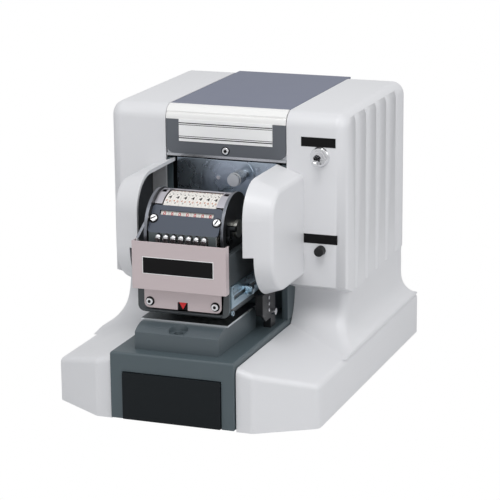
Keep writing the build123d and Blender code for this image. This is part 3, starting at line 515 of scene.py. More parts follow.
# painted reflection: the chrome front trim is painted near white for its bright reflection of the white
# surroundings
TRIM_PAINTED_REFLECTION = paint("bright_trim", (244, 243, 241), 0.24, drift=0.02, mottle=0.01, mottle_scale=20, coat=0.4)
DIE_PAINT = paint("die_paint", (84, 94, 99), 0.38, drift=0.06, mottle_scale=40, peel=0.25, peel_scale=1100)
DIE_STEEL = metal("die_steel", (150, 156, 158), 0.36, mottle=0.08, grain=0.2)
# painted highlight: the die plate's side faces are a lighter copy of its steel, for the bright line along
# its edge
DIE_EDGE_HIGHLIGHT = paint("die_edge_highlight", (214, 218, 220), 0.28, metallic=0.8, mottle=0.04)
DRAWER_BLACK = paint("drawer_black", (20, 25, 28), 0.44, peel=0.12, peel_scale=1600, gloss=0.18)
BLACK_PLASTIC = paint("black_plastic", (20, 20, 21), 0.42, peel=0.15, peel_scale=1600, gloss=0.35)
BLACK_ENAMEL = paint("black_enamel", (28, 29, 31), 0.3, drift=0.08, mottle=0.08, peel=0.2)
RUBBER = paint(
    "rubber", (24, 24, 24), 0.75, drift=0.08, mottle=0.1, mottle_scale=80, peel=0.4, peel_scale=2200
)

# drive
RAM_STEEL = metal(
    "ram_steel", (178, 190, 202), 0.27, drift=0.22, mottle=0.6, mottle_scale=34, relief=RAM_RINGS
)
BRONZE = metal("bronze", (196, 160, 96), 0.35, drift=0.08, mottle=0.06)
DARK_STEEL = metal("dark_steel", (46, 48, 50), 0.35, drift=0.08, mottle=0.06)
CAST_IRON = metal("cast_iron", (96, 97, 99), 0.5, drift=0.1, mottle=0.1, peel=0.4, peel_scale=1400)
MOTOR_PAINT = paint(
    "motor_paint", (70, 76, 80), 0.45, drift=0.06, mottle=0.06, mottle_scale=40, peel=0.3, peel_scale=1000
)
TOOL_STEEL = metal("tool_steel", (150, 152, 154), 0.34, mottle=0.06, grain=0.2)
KNOB_CHROME = metal("knob_chrome", (214, 216, 220), 0.18, mottle=0.04, relief=KNOB_KNURL)
KNOB_FACE = metal("knob_face", (190, 194, 196), 0.34, drift=0.06)
CHROME = metal("chrome", (228, 228, 230), 0.12, mottle=0.02)

# head
HEAD_PAINT = paint(
    "head_paint", (68, 73, 76), 0.32, drift=0.07, mottle=0.06, mottle_scale=50, peel=0.2, peel_scale=1400
)
RIM_METAL = metal("rim_metal", (132, 135, 142), 0.34, mottle=0.04, relief=STRAP_RINGS)
DRUM_METAL = metal("drum_metal", (205, 203, 210), 0.34, mottle=0.04, grain=0.12)
INDEX_PAINT = paint(
    "index_paint", (62, 70, 84), 0.36, metallic=0.1, mottle=0.03, mottle_scale=40, peel=0.1, coat=0.15
)
COMB_PAINT = paint("comb_paint", (86, 94, 96), 0.36, metallic=0.2, peel=0.12)
# painted highlight: light outlines on the edges of the comb's slots
COMB_EDGE_HIGHLIGHT = paint("comb_edge_highlight", (196, 202, 202), 0.3, metallic=0.4)
PLATE_PAINT = paint(
    "plate_paint", (204, 190, 191), 0.34, metallic=0.25, mottle=0.03, mottle_scale=40, peel=0.12
)
THUMB_CHROME = metal("thumb_chrome", (190, 212, 226), 0.14, mottle=0.02, relief=THUMB_KNURL)
ZINC = metal("zinc", (196, 196, 190), 0.32, mottle=0.06, grain=0.15, direction=Direction.Y)
BLUE_ZINC = metal(
    "blue_zinc", (176, 198, 212), 0.3, mottle=0.08, mottle_scale=90, grain=0.12, direction=Direction.Y
)
WHEEL_ENAMEL = paint("wheel_enamel", (238, 234, 228), 0.42, drift=0.06, peel=0.1)

# plates and print, and the painted shade and shadow rings round screws
LABEL_SKIN = {"drift": 0.04, "mottle_scale": 80, "peel": 0.08, "peel_scale": 1800}
# black of the labels, and also of the painted shadow rings round screw heads
LABEL_BLACK_AND_SHADOW = paint("label_black_and_shadow", (14, 13, 14), 0.48, mottle=0.04, gloss=0.15, **LABEL_SKIN)
LABEL_WHITE = paint("label_white", (250, 250, 249), 0.45, mottle=0.02, **LABEL_SKIN)
# black of the print, and also of the painted shade in screw slots and sockets
INK_BLACK_AND_SHADE = paint("ink_black_and_shade", (24, 22, 22), 0.5, drift=0.04, mottle_scale=80, gloss=0.2)
INK_RED = paint("ink_red", (206, 44, 52), 0.5, drift=0.04, mottle_scale=80)
INK_ORANGE = paint("ink_orange", (186, 112, 74), 0.5, drift=0.04, mottle_scale=80)
INK_GREY = paint("ink_grey", (66, 62, 62), 0.5, drift=0.04, mottle_scale=80)
POINTER_RED = paint("pointer_red", (226, 40, 44), 0.4, drift=0.04, mottle=0.03, mottle_scale=80)


@dataclass
class Wardrobe:
    """Materials, built once each, by finish."""

    effects: EffectLibrary = field(default_factory=EffectLibrary)
    made: dict[str, bpy.types.Material] = field(default_factory=dict)

    def material(self, finish: Finish) -> bpy.types.Material:
        """Material of a finish, built on first use."""
        if finish.name not in self.made:
            self.made[finish.name] = finish.build(self.effects)
        return self.made[finish.name]

    def dress(self, piece: bpy.types.Object, finish: Finish) -> None:
        """Gives a piece one finish all over.

        Args:
            piece: mesh object.
            finish: its finish.
        """
        piece.data.materials.clear()
        piece.data.materials.append(self.material(finish))


# --------------------------------------------------------------------------- mesh helpers
MERGE_DISTANCE = 1e-6      # metres: corners closer than this are one
COPLANAR_DEGREES = 0.6     # facets that turn less than this become one face
ROUNDED_DEGREES = 32.0     # edges sharper than this get the small rounding
PRINT_RISE = 0.12          # mm: thickness of print, rules, painted shade in slots and painted shadow rings
SOCKET_RISE = 0.1          # mm: thickness of the painted shade in a socket
SINK = 0.05                # mm: how deep print and painted shade sit in their ground


def new_piece(name: str, mesh: bpy.types.Mesh, body: str) -> bpy.types.Object:
    """Object of a finished mesh, riding on a body.

    Args:
        name: object name.
        mesh: mesh in the frame of the model.
        body: body that carries it.

    Returns:
        The linked object.
    """
    piece = bpy.data.objects.new(name, mesh)
    bpy.context.scene.collection.objects.link(piece)
    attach(piece, body)
    return piece


def skin_of(node: str, solid: bpy.types.Object, body: str, degrees: float, bevel: float) -> bpy.types.Object:
    """Smooth-shaded copy of a solid's surface, which stands for it.

    Args:
        node: node name.
        solid: the node's object.
        body: body that carries it.
        degrees: edges sharper than this stay sharp.
        bevel: width of a small rounding on the sharp edges, in mm, 0 for none.

    Returns:
        The copy.
    """
    form = bmesh.new()
    form.from_mesh(solid.data)
    bmesh.ops.remove_doubles(form, verts=form.verts, dist=MERGE_DISTANCE)
    flat = math.radians(COPLANAR_DEGREES)
    bmesh.ops.dissolve_limit(form, angle_limit=flat, verts=form.verts, edges=form.edges, delimit=set())
    mesh = bpy.data.meshes.new(f"{node}_skin")
    form.to_mesh(mesh)
    form.free()
    mesh.shade_smooth()
    mesh.set_sharp_from_angle(angle=math.radians(degrees))
    piece = new_piece(f"{node}_skin", mesh, body)
    if bevel > 0.0:
        rounding = piece.modifiers.new("edge_rounding", "BEVEL")
        rounding.width = bevel * MM
        rounding.segments = 2
        rounding.limit_method = "ANGLE"
        rounding.angle_limit = math.radians(ROUNDED_DEGREES)
        rounding.harden_normals = True
    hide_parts(node)
    return piece


def mesh_from(name: str, shape: Shape) -> bpy.types.Mesh:
    """Mesh from points in machine millimetres.

    Args:
        name: mesh name.
        shape: points in mm and the corner indices of each face.

    Returns:
        The mesh, in metres in the frame of the model.
    """
    points, faces = shape
    shifted = (np.asarray(points, dtype=float) + np.array([0.0, FRONT_Y, FOOT_Z])) * MM
    mesh = bpy.data.meshes.new(name)
    mesh.from_pydata([tuple(point) for point in shifted], [], [tuple(face) for face in faces])
    mesh.update()
    return mesh


def slab(outline: Outline, origin: Array, across: Array, up: Array, rise: float) -> Shape:
    """Thin plate over an outline drawn on a plane.

    Args:
        outline: counter-clockwise corners on the plane, in mm.
        origin: plane's origin in machine mm.
        across: unit vector of the first coordinate.
        up: unit vector of the second coordinate.
        rise: thickness towards the viewer's side, in mm.

    Returns:
        Its points and faces.
    """
    normal = np.cross(across, up)
    flat = np.array([origin + u * across + v * up for u, v in outline])
    count = len(outline)
    points = np.vstack([flat, flat + normal * rise])
    faces = [tuple(range(count - 1, -1, -1)), tuple(range(count, 2 * count))]
    faces += [(i, (i + 1) % count, count + (i + 1) % count, count + i) for i in range(count)]
    return points, faces


def joined(shapes: Iterable[Shape]) -> Shape:
    """Several shapes as one, in their order."""
    points, faces, start = [], [], 0
    for more, cells in shapes:
        points.append(more)
        faces += [tuple(corner + start for corner in cell) for cell in cells]
        start += len(more)
    return np.vstack(points), faces


def rectangle(width: float, height: float, x: float = 0.0, y: float = 0.0) -> Outline:
    """Counter-clockwise corners of a rectangle about a centre."""
    w, h = width / 2, height / 2
    return [(x - w, y - h), (x + w, y - h), (x + w, y + h), (x - w, y + h)]


def disc(radius: float, corners: int = 24, x: float = 0.0, y: float = 0.0) -> Outline:
    """Counter-clockwise corners of a round outline about a centre."""
    steps = np.linspace(0.0, 2.0 * math.pi, corners, endpoint=False)
    return [(x + radius * math.cos(a), y + radius * math.sin(a)) for a in steps]


@dataclass
class GlyphCase:
    """Flat figures, each drawn once, as points and faces in units of their height.

    Attributes:
        boldness: how far the outline is pushed out, in units of the type's size.
        cut: the figures drawn so far.
    """

    boldness: float = 0.02
    cut: dict[str, Shape] = field(default_factory=dict)

    def get(self, figure: str) -> Shape:
        """Points and faces of a figure, centred, one unit high."""
        if figure not in self.cut:
            curve = bpy.data.curves.new("figure", "FONT")
            curve.body = figure
            curve.resolution_u = 3
            curve.offset = self.boldness
            holder = bpy.data.objects.new("figure", curve)
            bpy.context.scene.collection.objects.link(holder)
            graph = bpy.context.evaluated_depsgraph_get()
            mesh = bpy.data.meshes.new_from_object(holder.evaluated_get(graph))
            flat = np.empty(3 * len(mesh.vertices))
            mesh.vertices.foreach_get("co", flat)
            points = flat.reshape(-1, 3)[:, :2]
            low, high = points.min(axis=0), points.max(axis=0)
            points = (points - (low + high) / 2) / (high[1] - low[1])
            faces = [tuple(face.vertices) for face in mesh.polygons]
            bpy.data.objects.remove(holder)
            bpy.data.meshes.remove(mesh)
            self.cut[figure] = (points, faces)
        return self.cut[figure]


# --------------------------------------------------------------------------- sub-assemblies
@dataclass
class Dresser:
    """Shared ground of the sub-assemblies: the frame and the wardrobe."""

    frame: dict
    wardrobe: Wardrobe

    def body_of(self, node: str) -> str:
        """Name of the body that a node belongs to."""
        bodies = self.frame["record"]["behaviour"]["bodies"]
        return next(name for name, members in bodies.items() if node in members)

    def plain(self, nodes: Iterable[str], finish: Finish) -> None:
        """Finish on solids whose surface stays as it is."""
        for node in nodes:
            self.wardrobe.dress(self.frame["nodes"][node], finish)

    def skins(self, nodes: Iterable[str], finish: Finish, degrees: float = 28.0, bevel: float = 0.0) -> None:
        """Smoothed, finished copies that stand for solids.

        Args:
            nodes: node names.
            finish: their finish.
            degrees: edges sharper than this stay sharp.
            bevel: rounding of the sharp edges, in mm.
        """
        for node in nodes:
            piece = skin_of(node, self.frame["nodes"][node], self.body_of(node), degrees, bevel)
            self.wardrobe.dress(piece, finish)
            LOG.info("%s: %d faces", piece.name, len(piece.data.polygons))

    def toned(self, node: str, *others: tuple[Finish, Rule]) -> None:
        """Further finishes on the faces of a skin that rules pick by normal and centre (mm).

        Args:
            node: node whose skin it is.
            *others: each further finish with its rule; the first rule that picks a face counts.
        """
        piece = bpy.data.objects[f"{node}_skin"]
        for other, _ in others:
            piece.data.materials.append(self.wardrobe.material(other))
        shift = Vector((0.0, FRONT_Y, FOOT_Z))
        for face in piece.data.polygons:
            centre = face.center / MM - shift
            slots = [i + 1 for i, (_, picks) in enumerate(others) if picks(face.normal, centre)]
            face.material_index = slots[0] if slots else 0

    def add(self, name: str, shape: Shape, body: str, finish: Finish) -> None:
        """New small piece.

        Args:
            name: object name.
            shape: points in machine mm and faces.
            body: body that carries it.
            finish: its finish.
        """
        self.wardrobe.dress(new_piece(name, mesh_from(name, shape), body), finish)

    def plate(self, name: str, outline: Outline, y: float, body: str, finish: Finish, rise: float) -> None:
        """Thin upright plate with its back on the plane at a depth, facing the operator.

        Args:
            name: object name.
            outline: corners as x and height, counter-clockwise as the operator sees them.
            y: depth of the surface that it lies on, in mm.
            body: body that carries it.
            finish: its finish.
            rise: thickness towards the operator, in mm.
        """
        self.add(name, slab(outline, BACK * y, ACROSS, UP, rise), body, finish)


@dataclass
class Housing(Dresser):
    """Side covers, top, front panel and trim.

    Attributes:
        panel_y: depth of the front panel's face.
        plate_middle: x and height of the name plate's middle.
        plate_size: its width and height.
        plate_rise: its thickness.
        plate_rules: rise from the middle, as a share of the height, and width of each ruled line.
        panel_screw_z: height of the screw in the front panel.
        panel_screw_head: how far its head stands out.
        panel_screw_radii: of its painted shadow ring and of the painted shade in its socket.
        guard_inner_x: inner faces of the guards, which get painted shade, lie further out than this.
        guard_low: nearest depth and lowest height of the guards' inner faces.
        guard_high: farthest depth and greatest height of them.
    """

    panel_y: float = 144.0
    plate_middle: tuple[float, float] = (0.0, 246.0)
    plate_size: tuple[float, float] = (95.0, 21.4)
    plate_rise: float = 0.5
    plate_rules: Outline = ((0.33, 0.9), (0.25, 0.55), (-0.27, 0.55), (-0.35, 0.9))
    panel_screw_z: float = 228.2
    panel_screw_head: float = 1.2
    panel_screw_radii: tuple[float, float] = (4.3, 1.8)
    guard_inner_x: float = 52.2
    guard_low: tuple[float, float] = (51.0, 104.2)
    guard_high: tuple[float, float] = (143.9, 218.5)

    def build(self) -> None:
        """Dresses the housing."""
        self.skins(["cover_left", "cover_right"], WHITE_COVER, degrees=24.0)
        for node, side in (("cover_left", -1.0), ("cover_right", 1.0)):
            # painted shade on the inner faces of each head guard
            self.toned(node, (GUARD_INSIDE_SHADE, self.inner_rule(side)))
        self.skins(["top_plate"], TOP_PAINT, bevel=0.4)
        # painted reflection: near-white paint stands for the chrome trim's bright reflection
        self.skins(["front_trim"], TRIM_PAINTED_REFLECTION, degrees=24.0, bevel=0.2)
        self.skins(["front_panel", "rear_panel"], PANEL_PAINT, bevel=0.3)
        self.skins(["panel_carrier"], LIP_METAL, bevel=0.3)
        self.plain(["bottom_plate"], BED_PAINT)
        self.plain(["rubber_feet"], RUBBER)
        self.plain(["power_inlet", "start_switch"], BLACK_PLASTIC)
        self.name_plate()
        self.panel_screw()

    def inner_rule(self, side: float) -> Rule:
        """Rule that picks the inner faces of a cover's head guard, which get painted shade; -1 for the left,
        1 for the right.
        """
        (y0, z0), (y1, z1) = self.guard_low, self.guard_high

        def picks(normal: Vector, centre: Vector) -> bool:
            inward = normal.x * side < 0.2 and abs(centre.x) > self.guard_inner_x
            return inward and y0 < centre.y < y1 and z0 < centre.z < z1
        return picks

    def name_plate(self) -> None:
        """Bare plate on the front panel, ruled with two dark lines above and below its field."""
        x, z = self.plate_middle
        width, height = self.plate_size
        face_y = self.panel_y - self.plate_rise
        outline = rectangle(width, height, x, z)
        self.plate("name_plate", outline, self.panel_y, "root", LABEL_WHITE, self.plate_rise)
        for i, (rise, weight) in enumerate(self.plate_rules):
            line = rectangle(width, weight, x, z + height * rise)
            self.plate(f"name_plate_rule_{i + 1}", line, face_y + SINK, "root", INK_BLACK_AND_SHADE, PRINT_RISE)

    def panel_screw(self) -> None:
        """Painted shadow ring and painted shade in the socket of the screw in the front panel."""
        outer, inner = self.panel_screw_radii
        ring, socket = disc(outer, y=self.panel_screw_z), disc(inner, 6, y=self.panel_screw_z)
        head_y = self.panel_y - self.panel_screw_head
        self.plate("panel_screw_ring", ring, self.panel_y, "root", LABEL_BLACK_AND_SHADOW, PRINT_RISE)
        self.plate("panel_screw_socket", socket, head_y, "root", INK_BLACK_AND_SHADE, SOCKET_RISE)


@dataclass
class Bed(Dresser):
    """Casting, die set, gauge bracket and chip drawer."""

    def build(self) -> None:
        """Dresses the bed."""
        self.skins(["frame_casting"], BED_PAINT, bevel=0.5)
        self.skins(["die_block"], DIE_PAINT, bevel=0.4)
        self.skins(["die_plate"], DIE_STEEL)
        # painted highlight on the die plate's side faces
        self.toned("die_plate", (DIE_EDGE_HIGHLIGHT, lambda normal, centre: abs(normal.z) < 0.5))
        self.skins(["gauge_bracket"], BLACK_ENAMEL, bevel=0.4)
        self.skins(["drawer_front"], DRAWER_BLACK, bevel=0.3)
        self.plain(["chip_drawer"], BLACK_PLASTIC)
        self.skins(["case_screws"], CHROME)


@dataclass
class Drive(Dresser):
    """Ram, shaft, pulleys, belt and motor.

    Attributes:
        knob_face_y: the clamp knob's flat face lies in front of this depth.
        knob_body_y: depths between which the knob is knurled.
    """

    knob_face_y: float = 125.0
    knob_body_y: tuple[float, float] = (120.2, 134.2)

    def build(self) -> None:
        """Dresses the drive."""
        self.skins(["ram_block"], RAM_STEEL, degrees=24.0, bevel=0.4)
        self.plain(["ram_gibs"], DARK_STEEL)
        self.plain(["crankshaft"], TOOL_STEEL)
        self.plain(["main_bearings"], BRONZE)
        self.plain(["flywheel_pulley", "motor_pulley"], CAST_IRON)
        self.plain(["drive_belt"], RUBBER)
        self.plain(["motor", "motor_bracket"], MOTOR_PAINT)
        self.skins(["clamp_knob"], KNOB_CHROME, degrees=24.0)
        front, rear = self.knob_body_y
        self.toned(
            "clamp_knob",
            (KNOB_FACE, lambda normal, centre: normal.y < -0.95 and centre.y < self.knob_face_y),
            (CHROME, lambda normal, centre: centre.y < front or centre.y > rear),
        )


@dataclass(frozen=True)
class Mark:
    """Place of one figure within each tenth of a wheel's rim.

    Attributes:
        ink: its ink.
        height: in mm.
        offset: across, from the middle of the wheel, in mm.
        degrees: from the tenth's main figure towards the top.
        previous: whether it is the figure before, in place of the tenth's own.
    """

    ink: Finish
    height: float
    offset: float
    degrees: float
    previous: bool = False


@dataclass
class WheelFigures(Dresser):
    """Figures printed round the number wheels.

    Attributes:
        glyphs: the figures, drawn flat.
        pitch: distance between wheels.
        radius: of the wheels' rim.
        axis: depth and height of their axle.
        lift: how far the print stands off the rim.
        first_degrees: place of the first figure, from the back over the top.
        figures: in the order in which they follow each other.
        marks: what is printed for each of them.
        zero: the red zero, which stands at its own place.
    """

    glyphs: GlyphCase = field(default_factory=GlyphCase)
    pitch: float = 7.5
    radius: float = 30.8
    axis: tuple[float, float] = (72.0, 172.6)
    lift: float = 0.07
    first_degrees: float = 113.7
    figures: str = "4567891230"
    marks: tuple[Mark, ...] = (
        Mark(INK_BLACK_AND_SHADE, 4.7, 0.2, 0.0),
        Mark(INK_ORANGE, 2.5, -1.8, 9.0),
        Mark(INK_ORANGE, 2.5, 1.7, 10.2, previous=True),
        Mark(INK_GREY, 1.9, -0.1, 14.2, previous=True),
        Mark(INK_GREY, 2.1, -1.8, -8.2),
        Mark(INK_GREY, 2.1, 1.7, -9.0, previous=True),
        Mark(INK_GREY, 1.8, 0.2, -13.2),
    )
    zero: Mark = Mark(INK_RED, 3.7, 0.0, 149.2)

    def wrapped(self, figure: str, mark: Mark, middle: float, degrees: float) -> Shape:
        """Figure laid on the wheel's rim, upright for a reader in front.

        Args:
            figure: the character.
            mark: its size and offset.
            middle: middle of the wheel across the machine, in mm.
            degrees: its place round the wheel, from the back over the top.

        Returns:
            Points in machine mm and faces.
        """
        flat, faces = self.glyphs.get(figure)
        radius = self.radius + self.lift
        angle = math.radians(degrees) - flat[:, 1] * mark.height / radius
        y = self.axis[0] + radius * np.cos(angle)
        z = self.axis[1] + radius * np.sin(angle)
        return np.column_stack([middle + mark.offset + flat[:, 0] * mark.height, y, z]), faces

    def print_of(self, ink: Finish, middle: float) -> Shape:
        """All figures of one ink round one wheel."""
        shapes = []
        step = 360.0 / len(self.figures)
        for k, figure in enumerate(self.figures):
            degrees = self.first_degrees - step * k
            for mark in self.marks:
                if mark.ink is ink and not (ink is INK_BLACK_AND_SHADE and figure == "0"):
                    shown = self.figures[k - 1] if mark.previous else figure
                    shapes.append(self.wrapped(shown, mark, middle, degrees + mark.degrees))
        return joined(shapes)

    def build(self) -> None:
        """Prints every wheel."""
        for wheel in range(WHEEL_COUNT):
            middle = (wheel - (WHEEL_COUNT - 1) / 2) * self.pitch
            name, body = f"wheel_{wheel + 1}", f"number_wheel_{wheel + 1}"
            for label, ink in (("black", INK_BLACK_AND_SHADE), ("orange", INK_ORANGE), ("grey", INK_GREY)):
                self.add(f"{name}_{label}", self.print_of(ink, middle), body, ink)
            zero = self.wrapped("0", self.zero, middle, self.zero.degrees)
            self.add(f"{name}_red", zero, body, self.zero.ink)


@dataclass
class NumberingHead(Dresser):
    """Wheels, levers and plates of the head.

    Attributes:
        comb_top: the comb of the index plate lies below this height.
        comb_edge_top: edges of the comb below this height get a painted highlight.
        index_top: depth and height of the index plate's upper edge.
        index_foot: the same of its lower edge.
        index_screw_x: distance of its screws from the centre plane.
        index_screw_head: how far they stand out.
        index_slot: length and width of their slots.
        index_slot_turns: how far each slot is turned, in radians, left and right.
        index_seat: radius and thickness of the painted shadow rings round them.
        label_middle: x and height of the label's middle.
        label_size: its width and height.
        label_border: width of the light border round it.
        label_rise: thickness of that border.
        front_plate_y: depth of the front plate's face.
        pointer_backing: width, height, x and height above the edge of the dark ground behind it.
        pointer_x: half width of the pointer.
        pointer_z: height of its tip and of its upper edge.
        pointer_y: depth of the face behind it.
        pointer_rises: thickness of the dark ground and of the pointer.
        lower_screw: distance from the centre plane and height of the lower plate's screws.
        lower_screw_head: how far they stand out.
        lower_screw_radii: of their painted shadow rings and of the painted shade in their sockets.
        lower_screw_sink: how deep those sit in the faces under them.
        lower_plate_y: depth of the lower plate's face.
        scale_face_x: distance of the scale's face from the centre plane.
        scale_start: depth of the scale's first mark.
        mark_count: number of its marks.
        mark_pitch: distance between them.
        mark_foot: height of their lower ends.
        mark_size: width of a mark, height of every fourth and height of the others.
        mark_rise: their thickness.
        number_count: number of its numbers.
        number_pitch: distance between them.
        number_z: height of their middles.
        number_height: their height.
        number_lift: how far they stand off the scale's face.
        side_screw_place: x, depth and height of the foot of the small screw on the right, where its painted
            shadow ring lies.
        side_screw_radii: of its painted shadow ring, its head and the painted shade in its socket.
        side_screw_rises: thickness of the painted shadow ring and height of the head.
    """

    comb_top: float = 173.0
    comb_edge_top: float = 172.0
    index_top: tuple[float, float] = (48.0, 195.6)
    index_foot: tuple[float, float] = (32.0, 173.3)
    index_screw_x: float = 31.0
    index_screw_head: float = 2.0
    index_slot: tuple[float, float] = (5.0, 1.3)
    index_slot_turns: tuple[float, float] = (0.5, 1.1)
    index_seat: tuple[float, float] = (4.6, 0.25)
    label_middle: tuple[float, float] = (-0.7, 144.5)
    label_size: tuple[float, float] = (68.4, 14.8)
    label_border: float = 0.6
    label_rise: float = 0.15
    front_plate_y: float = 22.0
    pointer_backing: tuple[float, float, float, float] = (9.8, 7.4, 0.0, 105.8)
    pointer_x: float = 3.7
    pointer_z: tuple[float, float] = (102.9, 109.2)
    pointer_y: float = 32.0
    pointer_rises: tuple[float, float] = (0.3, 0.4)
    lower_screw: tuple[float, float] = (32.2, 108.2)
    lower_screw_head: float = 2.4
    lower_screw_radii: tuple[float, float] = (4.4, 1.7)
    lower_screw_sink: float = 0.02
    lower_plate_y: float = 30.5
    scale_face_x: float = 46.4
    scale_start: float = 40.0
    mark_count: int = 25
    mark_pitch: float = 2.5
    mark_foot: float = 118.4
    mark_size: tuple[float, float, float] = (0.35, 3.2, 1.8)
    mark_rise: float = 0.08
    number_count: int = 7
    number_pitch: float = 10.0
    number_z: float = 124.0
    number_height: float = 2.2
    number_lift: float = 0.1
    side_screw_place: tuple[float, float, float] = (45.0, 38.5, 101.2)
    side_screw_radii: tuple[float, float, float] = (3.0, 2.4, 1.1)
    side_screw_rises: tuple[float, float] = (0.2, 1.8)

    def build(self) -> None:
        """Dresses the head."""
        self.skins(["head_frame"], HEAD_PAINT, degrees=24.0, bevel=0.3)
        for node in ("side_plate_left", "side_plate_right"):
            self.skins([node], BLACK_ENAMEL, degrees=24.0, bevel=0.3)
            self.toned(node, (RIM_METAL, lambda normal, centre: abs(normal.x) < 0.7))
        self.skins(["drum_cover"], DRUM_METAL, degrees=24.0, bevel=0.1)
        self.skins(["index_plate"], INDEX_PAINT, degrees=24.0, bevel=0.2)
        # painted highlight on the edges of the comb
        self.toned(
            "index_plate",
            (COMB_EDGE_HIGHLIGHT, lambda normal, centre: centre.z < self.comb_edge_top and abs(normal.y) < 0.6),
            (COMB_PAINT, lambda normal, centre: centre.z < self.comb_top),
        )
        self.skins(["front_plate", "lower_plate"], PLATE_PAINT, bevel=0.3)
        self.skins(["head_screws"], CHROME, degrees=24.0)
        self.skins(["head_shafts"], ZINC, degrees=24.0, bevel=0.1)
        self.skins(["scale_plate"], BLUE_ZINC, degrees=24.0, bevel=0.1)
        self.skins(["gauge_slider"], THUMB_CHROME, degrees=24.0)
        self.skins(["side_lever"], DARK_STEEL, degrees=24.0, bevel=0.2)
        self.plain(["pin_block", "punch_pins"], TOOL_STEEL)
        wheels = [f"number_wheel_{i + 1}" for i in range(WHEEL_COUNT)]
        levers = [f"finger_lever_{i + 1}" for i in range(WHEEL_COUNT)]
        self.skins(wheels, WHEEL_ENAMEL, degrees=24.0)
        self.skins(levers, CHROME, degrees=30.0)
        self.label()
        self.pointer()
        self.index_screws()
        self.lower_screws()
        self.scale_marks()
        self.side_screw()

    def label(self) -> None:
        """Bare black label with a thin light border on the front plate."""
        width, height = self.label_size
        edge = 2.0 * self.label_border
        border = rectangle(width + edge, height + edge, *self.label_middle)
        inner = rectangle(width, height, *self.label_middle)
        label_y = self.front_plate_y - self.label_rise
        self.plate("head_label_border", border, self.front_plate_y, "ram", LABEL_WHITE, self.label_rise)
        self.plate("head_label", inner, label_y, "ram", LABEL_BLACK_AND_SHADOW, PRINT_RISE)

    def pointer(self) -> None:
        """Red triangle in the notch of the lower plate."""
        backing = rectangle(*self.pointer_backing)
        low, high = self.pointer_rises
        self.plate("pointer_backing", backing, self.pointer_y, "ram", LABEL_BLACK_AND_SHADOW, low)
        tip, top = self.pointer_z
        triangle = [(0.0, tip), (self.pointer_x, top), (-self.pointer_x, top)]
        self.plate("pointer", triangle, self.pointer_y - low, "ram", POINTER_RED, high)

    def index_screws(self) -> None:
        """Painted shade in the slots of the index plate's screw heads, and painted shadow rings round them.
        """
        (y1, z1), (y0, z0) = self.index_top, self.index_foot
        up = np.array([0.0, y1 - y0, z1 - z0])
        up /= np.linalg.norm(up)
        normal = np.cross(ACROSS, up)
        middle = np.array([0.0, (y0 + y1) / 2, (z0 + z1) / 2])
        painted_shadow_radius, painted_shadow_rise = self.index_seat
        for side, turn in zip((-1, 1), self.index_slot_turns):
            centre = middle + ACROSS * side * self.index_screw_x
            c, s = math.cos(turn), math.sin(turn)
            slot = [(u * c - v * s, u * s + v * c) for u, v in rectangle(*self.index_slot)]
            head = centre + normal * (self.index_screw_head - SINK)
            cut = slab(slot, head, ACROSS, up, PRINT_RISE)
            self.add(f"index_screw_slot_{side + 2}", cut, "ram", INK_BLACK_AND_SHADE)
            # painted shadow ring round the screw head
            painted_shadow = slab(disc(painted_shadow_radius), centre, ACROSS, up, painted_shadow_rise)
            self.add(f"index_screw_painted_shadow_{side + 2}", painted_shadow, "ram", LABEL_BLACK_AND_SHADOW)

    def lower_screws(self) -> None:
        """Painted shade in the hexagon sockets of the lower plate's cap screws, and painted shadow rings
        round them.
        """
        x, z = self.lower_screw
        outer, inner = self.lower_screw_radii
        ring_y = self.lower_plate_y + self.lower_screw_sink
        head_y = ring_y - self.lower_screw_head
        for side, word in ((-1, "left"), (1, "right")):
            socket, ring = disc(inner, 6, side * x, z), disc(outer, x=side * x, y=z)
            self.plate(f"lower_screw_socket_{word}", socket, head_y, "ram", INK_BLACK_AND_SHADE, SOCKET_RISE)
            self.plate(f"lower_screw_ring_{word}", ring, ring_y, "ram", LABEL_BLACK_AND_SHADOW, PRINT_RISE)

    def scale_marks(self) -> None:
        """Engraved marks and plain numbers over the slot of the scale."""
        width, tall, short = self.mark_size
        marks = []
        for i in range(self.mark_count):
            height = short if i % 4 else tall
            y = self.scale_start + self.mark_pitch * i
            mark = rectangle(width, height, y, self.mark_foot + height / 2)
            marks.append(slab(mark, ACROSS * self.scale_face_x, BACK, UP, self.mark_rise))
        self.add("scale_marks", joined(marks), "ram", INK_BLACK_AND_SHADE)
        glyphs = GlyphCase()
        for i in range(self.number_count):
            flat, cells = glyphs.get(str(i))
            x = np.full(len(flat), self.scale_face_x + self.number_lift)
            y = self.scale_start + self.number_pitch * i + flat[:, 0] * self.number_height
            z = self.number_z + flat[:, 1] * self.number_height
            self.add(f"scale_number_{i}", (np.column_stack([x, y, z]), cells), "ram", INK_BLACK_AND_SHADE)

    def side_screw(self) -> None:
        """Small cap screw low on the right side of the head, with a painted shadow ring round it and painted
        shade in its socket.
        """
        ground = np.array(self.side_screw_place)
        painted_shadow, head = self.side_screw_rises
        for radius, (name, lift, rise, finish) in zip(self.side_screw_radii, (
            # painted shadow ring, then the head, then painted shade in its socket
            ("side_screw_painted_shadow", 0.0, painted_shadow, LABEL_BLACK_AND_SHADOW),
            ("side_screw", 0.0, head, BLUE_ZINC),
            ("side_screw_socket", head - SINK, SOCKET_RISE, INK_BLACK_AND_SHADE),
        )):
            self.add(name, slab(disc(radius), ground + ACROSS * lift, BACK, UP, rise), "ram", finish)


